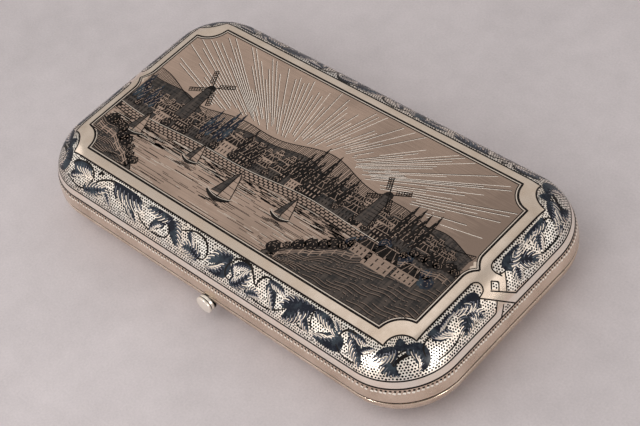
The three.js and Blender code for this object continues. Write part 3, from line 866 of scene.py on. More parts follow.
class SNUFF_OT_small_parts(bpy.types.Operator):
    """Hinge, bezel and catch: smooth copies of the solids with their finishes"""

    bl_idname = "snuff.small_parts"
    bl_label = "Hinge, bezel and catch"

    FINISH_OF_SLOT = {"silver": "warm silver", "gilt": "gilt", "steel": "steel"}
    # Where the leaf starts to bend at its foot, and where its pad wholly follows the button, from the middle.
    SPRING_FOOT = 9.5
    SPRING_PAD = 3.0

    def execute(self, context):
        record = frame["record"]
        slots = {part["node"]: part["material_slot"] for part in record["subparts"]}
        made = {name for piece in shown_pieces() for name in piece.get("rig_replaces", [])}
        for body, nodes in record["behaviour"]["bodies"].items():
            for node in nodes:
                if node not in made and node != "catch_spring":
                    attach(self.copy(node, f"{node}_smooth", slots[node]), body)
        for name, side in (("catch_spring_left", -1), ("catch_spring_right", 1)):
            self.spring_half(name, side, slots["catch_spring"])
        return {"FINISHED"}

    def copy(self, node, name, slot):
        """A welded, smooth copy of one solid, which it stands for."""
        solid = frame["nodes"][node]
        piece = bpy.data.objects.new(name, solid.data.copy())
        bpy.context.scene.collection.objects.link(piece)
        piece.data.materials.clear()
        piece.data.materials.append(finish_named(self.FINISH_OF_SLOT[slot]))
        weld(piece)
        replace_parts(piece, node)
        return piece

    def spring_half(self, name, side, slot):
        """Half of the catch's leaf, cut in two at its middle."""
        piece = self.copy("catch_spring", name, slot)
        work = bmesh.new()
        work.from_mesh(piece.data)
        whole = work.verts[:] + work.edges[:] + work.faces[:]
        cut = bmesh.ops.bisect_plane(
            work, geom=whole, dist=1e-8, plane_co=(0, 0, 0), plane_no=(-side, 0, 0), clear_outer=True
        )
        open_edges = [part for part in cut["geom_cut"] if isinstance(part, bmesh.types.BMEdge)]
        bmesh.ops.holes_fill(work, edges=open_edges)
        bmesh.ops.recalc_face_normals(work, faces=work.faces)
        work.to_mesh(piece.data)
        work.free()
        piece.data.set_sharp_from_angle(angle=SHARP_EDGE)
        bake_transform(piece)


# Lines of the lid

# Lifts of the inlay's layers from the solid's surface.
GROUND_LIFT = -0.039
DOT_LIFT = -0.033
DARK_LIFT = -0.026
CUT_LIFT = -0.018

# The frame's cusp at the middle of a short side: how far it reaches out and half its width.
CUSP_REACH = 1.25
CUSP_HALF = 2.6

# The strap's crossing at the middle of a short side, as places along the side and down the shoulder.
CROSSING_FIELDS = [
    [(-6, 1.9), (-2.6, 1.9), (-1.85, 2.8), (-2.6, 3.8), (-3.6, 4.2), (-1.55, 6.5), (-2.8, 7.7), (-6, 7.7)],
    [(6, 1.9), (2.4, 1.9), (1.7, 2.6), (1.95, 3.6), (2.9, 4.2), (1.2, 6.5), (2.3, 7.6), (6, 7.6)],
    [(0, 3.8), (0.75, 4.5), (0, 5.4), (-0.75, 4.6)],
    [(-0.6, 7.9), (1.0, 9.15), (-1.65, 9.15)],
]
CROSSING_CURVES = [
    [(-2.9, 1.74), (-2.3, 1.85), (-1.75, 2.35), (-1.7, 3.1), (-2.1, 3.75), (-2.8, 4.0), (-3.5, 4.1)],
    [(2.6, 1.74), (1.95, 1.95), (1.55, 2.5), (1.6, 3.3), (2.0, 3.85), (2.9, 4.05)],
]
CROSSING_EDGES = [
    [(-3.5, 4.1), (1.41, 9.3)],
    [(-1.2, 4.6), (2.2, 7.85)],
    [(2.9, 4.05), (1.05, 6.55)],
    [(-1.35, 6.55), (-2.6, 7.9)],
    [(-0.6, 7.75), (-2.15, 9.3)],
    [(1.5, 3.1), (2.0, 4.3)],
    [(-0.95, 4.6), (0.0, 3.6)],
    [(0.0, 3.6), (0.9, 4.5)],
    [(0.9, 4.5), (-0.05, 5.55)],
]


def frame_path(form, step):
    """The picture's frame drawn in by a step: cusps at the short sides, quarter arcs in at the corners."""
    x, y, notch = form.frame_length, form.frame_width, form.frame_notch + step
    reach = np.sqrt(notch**2 - step**2)
    q = np.linspace(0, 1, 24)
    cusp = np.stack([x - step + CUSP_REACH * (1 - q) ** 2, CUSP_HALF * q], -1)
    swing = np.arcsin(step / notch)
    turn = np.linspace(1.5 * np.pi - swing, np.pi + swing, 20)
    arc = np.stack([x + notch * np.cos(turn), y + notch * np.sin(turn)], -1)
    arc[0], arc[-1] = (x - step, y - reach), (x - reach, y - step)
    side = np.linspace(cusp[-1], arc[0], 12)[1:-1]
    long_side = np.linspace(arc[-1], (0.0, y - step), 40)[1:]
    first = np.concatenate([cusp, side, arc, long_side])
    second = first[::-1][1:] * (-1, 1)
    upper = np.concatenate([first, second])
    return np.concatenate([upper, upper[::-1][1:] * (1, -1)])


def strap_paths(form):
    """The strap's outer lines in plan: two long sides with their notches, down to the crossings' lobes."""
    x, y, notch = form.frame_length + form.strap_width, form.frame_width + form.strap_width, form.strap_notch
    turn = np.linspace(np.pi, 1.5 * np.pi, 20)
    arc = np.stack([x + notch * np.cos(turn), y + notch * np.sin(turn)], -1)
    side = np.linspace(arc[-1], (x, CUSP_HALF), 30)[1:]
    long_side = np.linspace((0.0, y), arc[0], 60)[:-1]
    half = np.concatenate([long_side, arc, side])
    line = np.concatenate([half[::-1], half[1:] * (-1, 1)])
    return [line, line * (1, -1)]


class SNUFF_OT_lid_lines(bpy.types.Operator):
    """Lines of the lid: frame, strap, crossings, the two bands and the row of beads"""

    bl_idname = "snuff.lid_lines"
    bl_label = "Lid lines"

    TONES = ("black niello", "bright cut", "white cut")
    # Lines of the picture's frame: step in from its edge, half width and tone.
    FRAME_LINES = ((0.12, 0.19, 0), (0.40, 0.08, 1), (0.60, 0.08, 0))
    STRAP_HALF = 0.14
    CROSSING_LINE_HALF = 0.115
    UPPER_BAND_HALF, LOWER_BAND_HALF = 0.135, 0.145
    # Where the upper band stops before a crossing and goes on after it.
    BAND_STOP, BAND_START = -2.6, 2.2
    BAND_STEPS = 420
    BEAD_DROP = 0.31
    # Half widths of a bead's two dashes: its painted shade and its painted highlight.
    DARK_BEAD_HALF, WHITE_BEAD_HALF = 0.15, 0.19

    def execute(self, context):
        form = BoxForm(context.scene.snuff_box_sizes)
        lines = Inlay(form)
        for step, half, tone in self.FRAME_LINES:
            lines.lay(ribbons(frame_path(form, step)[None], half), DARK_LIFT, plan=True, tone=tone)
        for path in strap_paths(form):
            lines.lay(ribbons(path[None], self.STRAP_HALF), DARK_LIFT, plan=True)
        self.bands(form, lines)
        for middle in form.side_middles[[1, 3]]:
            for curve in CROSSING_CURVES:
                path = flowing(curve, 30) + (middle, 0.0)
                lines.lay(ribbons(path[None], self.CROSSING_LINE_HALF), DARK_LIFT)
            ends = np.array(CROSSING_EDGES, float) + (middle, 0.0)
            lines.lay(strokes(ends[:, 0], ends[:, 1], self.CROSSING_LINE_HALF, 6), DARK_LIFT)
        self.beads(form, lines)
        lines.piece("lid_lines", self.TONES, "niello")
        return {"FINISHED"}

    def bands(self, form, lines):
        """Two lines round the lid. The upper one stops at the crossings."""
        right, left = form.side_middles[1], form.side_middles[3]
        spans = [
            (right - form.round / 2, right + form.round / 2, BAND_LOW, self.LOWER_BAND_HALF),
            (right + self.BAND_START, left + self.BAND_STOP, BAND_UP, self.UPPER_BAND_HALF),
            (left + self.BAND_START, right + form.round + self.BAND_STOP, BAND_UP, self.UPPER_BAND_HALF),
        ]
        for start, end, v, half in spans:
            s = np.linspace(start, end, self.BAND_STEPS)
            lines.lay(ribbons(np.stack([s, v + 0 * s], -1)[None], half), DARK_LIFT)

    def beads(self, form, lines):
        """A row of punched beads under the lower band: a slanted dark dash of painted shade, with a white
        dash of painted highlight below it.

        Their places are where the running sum of one over the pitch passes whole numbers.
        """
        chance = np.random.default_rng(5)
        s = np.linspace(0, form.round, 4000)
        ends = form.side_middles[[1, 3]]
        off = [np.abs(clean_turn(s - middle, -form.round / 2, form.round / 2)) for middle in ends]
        pitch = np.where(np.min(off, 0) < form.box_width / 2, form.bead_pitch_short, form.bead_pitch)
        passed = np.cumsum(1 / pitch) * (s[1] - s[0])
        count = round(passed[-1])
        places = np.interp(np.arange(count) / count, passed / passed[-1], s)
        slide, drop = 0.06 + 0.06 * chance.random(count), 0.22 + 0.08 * chance.random(count)
        start = np.stack([places, BAND_LOW + self.BEAD_DROP + 0 * places], -1)
        slant = np.stack([-slide, drop], -1)
        # The dark dash is painted shade on the bead's upper half.
        lines.lay(strokes(start, start + slant, self.DARK_BEAD_HALF, 3), DARK_LIFT)
        # The white dash below it is painted highlight on the bead's lower half.
        below = start + 1.35 * slant
        lines.lay(strokes(below, below + 1.1 * slant, self.WHITE_BEAD_HALF, 3), DARK_LIFT, tone=2)


class SNUFF_OT_lid_stipple(bpy.types.Operator):
    """Punched dots between the strap and the band, left out of the strap and its crossings"""

    bl_idname = "snuff.lid_stipple"
    bl_label = "Lid stipple"

    # Cells of the ground, and the part of the shoulder that is looked at for dots and cells.
    CELL = 0.24
    HIGH, LOW = -0.6, 9.4
    # Distance of the rows and shake of the dots, as shares of the pitch.
    ROW_SHARE, JITTER = 0.87, 0.07
    # What stays clear beside the strap and the band, and half the length of a crossing along the side.
    DOT_MARGIN, GROUND_MARGIN = 0.14, 0.03
    CROSSING_REACH = 5.5

    def execute(self, context):
        form = BoxForm(context.scene.snuff_box_sizes)
        chance = np.random.default_rng(11)
        pitch = form.stipple_pitch
        rows = np.arange(self.HIGH, self.LOW, pitch * self.ROW_SHARE)
        columns = np.arange(0, form.round, pitch)
        s = columns[None] + 0.5 * pitch * (np.arange(len(rows))[:, None] % 2)
        centres = np.stack(np.broadcast_arrays(s, rows[:, None]), -1).reshape(-1, 2)
        centres = centres + chance.normal(0, self.JITTER * pitch, centres.shape)
        centres = centres[self.stippled(form, centres, self.DOT_MARGIN)]
        size = form.dot_radius * (0.85 + 0.3 * chance.random(len(centres)))
        inlay = Inlay(form)
        inlay.lay(self.ground(form), GROUND_LIFT, tone=1)
        inlay.lay(dots(centres, size), DOT_LIFT)
        inlay.piece("lid_stipple", ("black niello", "frosted silver"), "niello")
        return {"FINISHED"}

    def ground(self, form):
        """Frosted ground under the dots: small cells round the shoulder, kept where the lid is stippled."""
        rows = np.arange(self.HIGH, self.LOW, self.CELL)
        columns = np.linspace(0, form.round, int(form.round / self.CELL))
        cells = cells_of(np.stack(np.meshgrid(columns, rows), -1))
        return cells[self.stippled(form, cells.mean(axis=(1, 2)), self.GROUND_MARGIN)]

    def stippled(self, form, centres, margin):
        """Which places are ground: outside the strap or in its notches, above the band, off the crossings."""
        s, v = centres[:, 0], centres[:, 1]
        plan = np.abs(form.on_shoulder(centres, 0.0)[:, :2])
        x, y = form.frame_length + form.strap_width, form.frame_width + form.strap_width
        outside = (plan[:, 0] > x + margin) | (plan[:, 1] > y + margin)
        notch = np.hypot(plan[:, 0] - x, plan[:, 1] - y) < form.strap_notch - margin
        ground = (outside | notch) & (v < BAND_UP - margin)
        for middle in form.side_middles[[1, 3]]:
            along = clean_turn(s - middle, -form.round / 2, form.round / 2)
            chart = np.stack([along, v], -1)
            fields = np.any([inside(chart, outline) for outline in CROSSING_FIELDS], 0)
            ground = np.where(np.abs(along) < self.CROSSING_REACH, fields, ground)
        return ground


# Scroll border

# Leaves of a side, from its middle and down the shoulder: tail, bend and tip, then the body's half width, the
# lobes' reach and their side, 0 for both. Stems: the points of a path and half its width.
FRONT_LEAVES = [
    ((-34.9, 3.6), (-32.6, 1.7), (-30.2, 2.9), 0.50, 2.3, 1),
    ((-34.6, 5.6), (-33.4, 4.2), (-31.4, 4.2), 0.25, 1.0, 1),
    ((-30.8, 6.8), (-28.5, 6.0), (-26.2, 4.8), 0.50, 1.1, 0),
    ((-26.4, 4.7), (-25.0, 5.2), (-24.0, 6.8), 0.20, 1.2, 0),
    ((-24.5, 2.7), (-21.0, 1.8), (-17.0, 3.2), 0.72, 3.4, 1),
    ((-22.6, 3.2), (-19.6, 3.6), (-17.4, 6.6), 0.34, 2.2, 1),
    ((-9.6, 3.0), (-12.0, 1.9), (-15.4, 2.9), 0.50, 1.4, -1),
    ((-10.8, 4.3), (-12.6, 3.5), (-13.9, 6.1), 0.32, 1.3, -1),
    ((-9.5, 2.5), (-8.6, 4.0), (-7.2, 6.3), 0.60, 1.4, -1),
    ((-1.9, 6.1), (-3.6, 5.0), (-5.7, 5.6), 0.55, 1.2, 0),
    ((-5.5, 2.8), (-4.9, 3.7), (-4.0, 4.6), 0.22, 0.9, -1),
    ((4.7, 2.4), (2.9, 3.0), (0.5, 5.4), 0.55, 1.9, 1),
    ((4.2, 3.4), (4.4, 6.7), (0.5, 7.1), 0.50, 2.2, 1),
    ((8.9, 2.6), (7.2, 1.9), (5.5, 3.6), 0.40, 1.2, -1),
    ((5.6, 6.9), (7.4, 6.6), (8.9, 3.6), 0.42, 1.5, 0),
    ((5.2, 3.5), (5.4, 4.6), (6.3, 5.6), 0.20, 0.8, -1),
    ((9.3, 6.9), (10.4, 5.7), (12.0, 6.0), 0.42, 0.7, 0),
    ((12.8, 2.5), (14.4, 2.0), (16.3, 2.9), 0.42, 1.5, 1),
    ((13.0, 3.0), (14.8, 3.6), (15.5, 6.3), 0.34, 1.8, 1),
    ((22.9, 2.6), (19.4, 2.5), (17.0, 5.2), 0.75, 1.5, 1),
    ((22.3, 3.0), (19.5, 4.2), (17.5, 7.1), 0.60, 2.0, -1),
    ((20.0, 3.8), (21.5, 4.6), (23.2, 6.4), 0.34, 1.3, 1),
    ((22.8, 2.6), (25.0, 2.1), (27.7, 3.8), 0.46, 1.5, 1),
    ((28.5, 3.7), (27.9, 2.9), (27.1, 2.2), 0.24, 0.5, 0),
    ((28.9, 3.9), (28.9, 6.7), (24.3, 6.7), 0.75, 1.7, 1),
    ((29.8, 2.6), (31.5, 2.0), (33.7, 2.8), 0.40, 1.2, 1),
    ((30.6, 3.0), (32.6, 3.6), (34.0, 6.4), 0.34, 2.3, 1),
    ((33.2, 4.6), (34.0, 3.4), (35.4, 3.2), 0.20, 0.9, 1),
]
FRONT_STEMS = [
    (
        [(-35.3, 3.6), (-34.0, 2.6), (-31.5, 2.2), (-29.6, 3.1), (-29.3, 4.6)]
        + [(-30.4, 6.2), (-32.2, 6.8), (-35.2, 6.0)],
        0.13,
    ),
    ([(-28.7, 5.1), (-27.7, 3.8), (-25.8, 2.8), (-24.0, 2.4)], 0.14),
    ([(-28.5, 3.0), (-28.0, 2.4), (-27.4, 2.6)], 0.20),
    ([(-17.4, 4.8), (-15.6, 6.0), (-13.4, 6.5), (-11.0, 6.4), (-9.5, 5.8)], 0.11),
    ([(-10.4, 3.7), (-9.5, 4.4), (-9.5, 5.4), (-10.2, 6.2)], 0.11),
    (
        [(-7.4, 3.5), (-5.0, 2.5), (-3.6, 2.3), (-2.0, 2.6), (-0.9, 3.4)]
        + [(-0.45, 4.5), (-0.8, 5.6), (-2.4, 6.2)],
        0.14,
    ),
    ([(5.2, 2.9), (4.3, 4.1), (4.2, 5.4), (4.9, 6.2), (5.7, 6.0), (5.8, 5.1)], 0.11),
    ([(4.9, 2.8), (6.2, 2.2), (8.2, 2.2), (9.3, 3.0), (10.7, 4.6)], 0.17),
    ([(10.9, 4.8), (11.1, 3.5), (11.9, 2.5), (13.2, 2.3)], 0.15),
    ([(10.4, 6.8), (13.6, 7.0), (15.8, 6.4), (17.5, 5.4)], 0.11),
    ([(20.0, 5.9), (21.5, 6.6), (23.1, 6.1)], 0.10),
    ([(22.8, 2.8), (22.9, 4.4), (23.5, 5.9)], 0.11),
    ([(28.7, 4.2), (29.2, 3.1), (30.2, 2.5), (31.5, 2.5)], 0.15),
    ([(28.7, 5.6), (30.3, 6.7), (32.4, 6.8), (34.2, 6.2)], 0.11),
]
SHORT_LEAVES = [
    ((-14.2, 2.9), (-12.4, 2.2), (-10.7, 3.9), 0.62, 2.6, 1),
    ((-8.7, 2.5), (-10.0, 2.4), (-11.7, 3.0), 0.30, 0.8, -1),
    ((-3.4, 4.3), (-5.2, 2.7), (-8.5, 2.4), 0.66, 1.6, -1),
    ((-4.1, 4.4), (-7.0, 4.4), (-9.1, 6.9), 0.64, 1.3, 0),
    ((-6.8, 4.8), (-5.4, 5.4), (-4.9, 6.9), 0.34, 1.2, 0),
    ((3.1, 4.2), (5.4, 2.6), (7.9, 2.5), 0.62, 1.7, 1),
    ((4.4, 3.9), (6.9, 4.2), (8.7, 6.9), 0.64, 1.5, 0),
    ((5.5, 4.4), (4.7, 5.2), (4.2, 6.9), 0.36, 1.0, 0),
    ((14.6, 3.0), (12.4, 1.9), (9.0, 2.8), 0.60, 1.5, -1),
    ((12.4, 3.2), (10.8, 4.0), (10.3, 5.7), 0.38, 1.0, 0),
    ((15.9, 6.4), (15.3, 5.4), (14.7, 6.3), 0.42, 0.4, 0),
]
SHORT_STEMS = [
    ([(-16.35, 5.1), (-16.15, 3.9), (-15.15, 3.1), (-13.65, 2.9)], 0.11),
    ([(-14.95, 6.5), (-12.15, 6.6), (-10.25, 6.2), (-8.85, 5.3)], 0.11),
    ([(7.95, 5.1), (9.85, 6.3), (11.95, 6.5), (13.95, 6.4), (15.15, 5.8)], 0.13),
    ([(14.35, 2.9), (15.35, 3.4), (15.45, 4.4), (14.75, 5.3)], 0.13),
]
CORNER_LEAVES = [
    ((-0.6, 2.7), (-2.5, 2.9), (-4.4, 3.9), 0.45, 2.5, -1),
    ((-1.6, 3.2), (-2.9, 5.7), (-0.6, 7.2), 0.58, 1.6, 1),
    ((0.6, 2.6), (5.2, 3.6), (2.4, 7.4), 0.62, 1.3, 1),
]
CORNER_STEMS = [
    ([(-1.5, 5.4), (-0.2, 4.3), (1.6, 3.9), (2.9, 4.7)], 0.24),
    ([(-1.7, 5.1), (-0.9, 3.9), (0.4, 3.3), (1.9, 3.3)], 0.10),
]
CORNER_APEX = [(0.15, 1.25), (0.12, 1.9), (0.10, 2.5), (0.05, 3.2)]
CORNER_APEX_HALF = [0.35, 0.95, 1.20, 1.35]


class SNUFF_OT_scroll_border(bpy.types.Operator):
    """Scroll border: acanthus leaves with lobes, bright cuts and pale veins of painted highlight, on running
    stems
    """

    bl_idname = "snuff.scroll_border"
    bl_label = "Scroll border"

    TONES = ("leaf niello", "black niello", "bright cut", "rubbed leaf")
    # Lobes on each side of a leaf, and the part of its length that they take.
    LOBES = 7
    LOBE_SPAN = (0.10, 0.92)
    # The half widths in the tables are taken this many times, for leaves and for stems.
    FULLNESS, STEM_WIDTH = 2.45, 1.35
    # Easing near the strap and near the band: where it starts, how far a leaf may go on, and its softness.
    EASE_HIGH = (3.2, 1.05, 1.3)
    EASE_LOW = (6.3, 0.95, 1.2)
    STEM_LIFT, APEX_LIFT, LOBE_LIFT = DARK_LIFT + 0.002, DARK_LIFT + 0.001, DARK_LIFT + 0.003
    # Points along each kind of strip, and across those that have to follow the shoulder.
    STEM_STEPS, APEX_STEPS, LEAF_STEPS, SPIKE_STEPS = 40, 12, 18, 6
    COLUMNS = 7
    # Lean of the lobes in degrees: at the tail, at the tip, and how much it differs from leaf to leaf.
    LEAN_TAIL, LEAN_TIP, LEAN_SPREAD = 88, 26, 6
    # Turn of a spike from its lean, at its middle and at its end.
    CURL_MIDDLE, CURL_END = 0.25, -0.30
    # Where spikes start, as a share of the half width; their length, as a share of the reach; and the half
    # width of the inner line that cuts and veins start from.
    ROOT, SPIKE_LENGTH, INNER = 0.6, 0.82, 0.2
    # Spikes: half width, share of it that is left at the end, span along the spike, tone and lift.
    LOBE = (0.44, 0.0, (0.0, 1.0), 0, LOBE_LIFT)
    CUT = (0.09, 0.35, (0.30, 1.05), 2, CUT_LIFT)
    # Veins: pale strokes on the leaf bodies, a painted highlight along their veins.
    VEIN = (0.06, 0.35, (0.06, 0.75), 3, CUT_LIFT)

    def execute(self, context):
        form = BoxForm(context.scene.snuff_box_sizes)
        chance = np.random.default_rng(23)
        inlay = Inlay(form)
        front, right, back, left = form.side_middles
        sides = [(FRONT_LEAVES, FRONT_STEMS, (front, back)), (SHORT_LEAVES, SHORT_STEMS, (right, left))]
        sides.append((CORNER_LEAVES, CORNER_STEMS, form.corner_middles))
        for leaves, stems, middles in sides:
            for middle in middles:
                self.leaves(inlay, leaves, middle, chance)
                self.stems(inlay, stems, middle)
        for middle in form.corner_middles:
            apex = flowing(CORNER_APEX, self.APEX_STEPS) + (middle, 0.0)
            half = np.interp(np.linspace(0, 3, self.APEX_STEPS), np.arange(4), CORNER_APEX_HALF)
            inlay.lay(widened(ribbons(apex[None], half[None]), self.COLUMNS), self.APEX_LIFT)
        inlay.piece("scroll_border", self.TONES, "niello")
        return {"FINISHED"}

    def stems(self, inlay, stems, middle):
        """Stems: smooth paths that thin out towards both ends."""
        taper = 0.45 + 0.55 * np.sin(np.pi * np.linspace(0.02, 0.98, self.STEM_STEPS)) ** 0.5
        for points, half in stems:
            path = flowing(points, self.STEM_STEPS) + (middle, 0.0)
            inlay.lay(ribbons(path[None], self.STEM_WIDTH * half * taper[None]), self.STEM_LIFT, tone=1)

    def leaves(self, inlay, leaves, middle, chance):
        """Each leaf: a full body along its bend, dark lobes off its edge, bright cuts and pale veins of
        painted highlight.
        """
        controls = np.array([leaf[:3] for leaf in leaves], float) + (middle, 0.0)
        width, reach, side = np.array([leaf[3:] for leaf in leaves], float).T
        width = width * self.FULLNESS
        q = np.linspace(0, 1, self.LEAF_STEPS)
        self.lay(inlay, ribbons(bend(controls, q), width[:, None] * self.swell(q)[None]), DARK_LIFT, 0)
        twin = side == 0
        first = np.where(twin, 1.0, side)
        lean = np.radians(chance.normal(0, self.LEAN_SPREAD, len(side)))
        lobes = np.linspace(*self.LOBE_SPAN, self.LOBES)
        gaps = 0.5 * (lobes[:-1] + lobes[1:])
        for some, way in ((np.full(len(side), True), first), (twin, -first)):
            whole = controls[some], width[some], reach[some], way[some], lean[some]
            inner_reach = reach[some] + (1 - self.INNER) * width[some]
            inner = controls[some], self.INNER * width[some], inner_reach, way[some], lean[some]
            self.fan(inlay, whole, lobes, self.LOBE, chance)
            self.fan(inlay, inner, gaps, self.CUT, chance)
            self.fan(inlay, inner, lobes, self.VEIN, chance)

    @staticmethod
    def swell(q):
        """A leaf's width along its bend: narrow at the tail, full before the middle, thin at the tip."""
        return 0.10 + 0.90 * np.sin(np.pi * q**0.8) ** 0.75 * (1 - 0.35 * q)

    def lay(self, inlay, grids, lift, tone):
        """Lays grids on the shoulder, eased in so that ground stays along the strap and along the band."""
        held = widened(grids, self.COLUMNS)
        v = held[..., 1]
        high, low = self.EASE_HIGH, self.EASE_LOW
        above, below = high[0] - v, v - low[0]
        v = np.where(above > 0, high[0] - high[1] * np.tanh(above / high[2]), v)
        held[..., 1] = np.where(below > 0, low[0] + low[1] * np.tanh(below / low[2]), v)
        inlay.lay(held, lift, tone=tone)

    def fan(self, inlay, leaf, start, spike, chance):
        """Spikes off the edge of each leaf, leaning towards its tip, longest past its middle."""
        controls, width, reach, side, tilt = leaf
        half, left, span, tone, lift = spike
        ahead = bend(controls, np.minimum(start + 0.02, 1.0)) - bend(controls, start - 0.02)
        ahead /= np.linalg.norm(ahead, axis=2, keepdims=True)
        aside = np.stack([-ahead[..., 1], ahead[..., 0]], -1) * side[:, None, None]
        edge = (width[:, None] * self.swell(start)[None])[..., None]
        root = bend(controls, start) + self.ROOT * aside * edge
        lean = np.radians(np.interp(start, [0, 1], [self.LEAN_TAIL, self.LEAN_TIP]))
        lean = (lean[None] + tilt[:, None])[..., None]
        long = self.SPIKE_LENGTH * reach[:, None] * (0.55 + 0.45 * np.sin(np.pi * start**1.2))[None]
        long = (long * (0.8 + 0.4 * chance.random(long.shape)))[..., None]
        first, last = lean + self.CURL_MIDDLE, lean + self.CURL_END
        middle = root + 0.5 * long * (np.cos(first) * ahead + np.sin(first) * aside)
        end = root + long * (np.cos(last) * ahead + np.sin(last) * aside)
        q = np.linspace(*span, self.SPIKE_STEPS)
        fade = (1 - (q - span[0]) / (span[1] - span[0])) ** 0.4
        path = bend(np.stack([root, middle, end], 2).reshape(-1, 3, 2), q)
        self.lay(inlay, ribbons(path, (half * (left + (1 - left) * fade))[None]), lift, tone)


# The picture

PICTURE_LIFT = -0.041


def picture_reach(form, y):
    """Half length of the picture at a height: the cusp at the middle, the notch's arc near the long sides."""
    cusp = CUSP_REACH * np.clip(1 - np.abs(y) / CUSP_HALF, 0, 1) ** 2
    depth = np.clip(np.abs(y) - (form.frame_width - form.frame_notch), 0, form.frame_notch)
    notch = np.sqrt(form.frame_notch**2 - (form.frame_notch - depth) ** 2)
    return form.frame_length + cusp - notch


class SNUFF_OT_picture_ground(bpy.types.Operator):
    """Satin ground of the picture, up to its frame"""

    bl_idname = "snuff.picture_ground"
    bl_label = "Picture ground"

    def execute(self, context):
        form = BoxForm(context.scene.snuff_box_sizes)
        y = np.linspace(-1, 1, 161) * form.frame_width
        x = np.linspace(-1, 1, 121)[None] * picture_reach(form, y)[:, None]
        grid = np.stack(np.broadcast_arrays(x, y[:, None]), -1)[None]
        ground = Inlay(form)
        ground.lay(grid, PICTURE_LIFT, plan=True)
        ground.piece("picture_ground", ("satin silver",), "silver")
        return {"FINISHED"}


def ridge(x, level, swells):
    """A skyline: a level with waves of given height, length and start."""
    return level + sum(height * np.sin(x / long + start) for height, long, start in swells)


# The point that the rays leave, and the skylines: level, then height, length and start of each wave.
SUN = np.array([-3.0, -3.0])
HILLS = (2.9, ((1.5, 8.5, 1.0), (0.7, 3.1, 0.4)))
FOOTHILLS = (0.9, ((1.1, 5.2, 2.0), (0.5, 2.3, 1.0)))
QUAY = (-5.4, ((0.9, 13.0, 0.6), (0.25, 4.0, 0.0)))

# Numbers of the picture's tones, and its two directions.
BLACK, LEAF, BRIGHT, PALE, HATCHED, WHITE = range(6)
ACROSS, UP = np.array([1.0, 0.0]), np.array([0.0, 1.0])


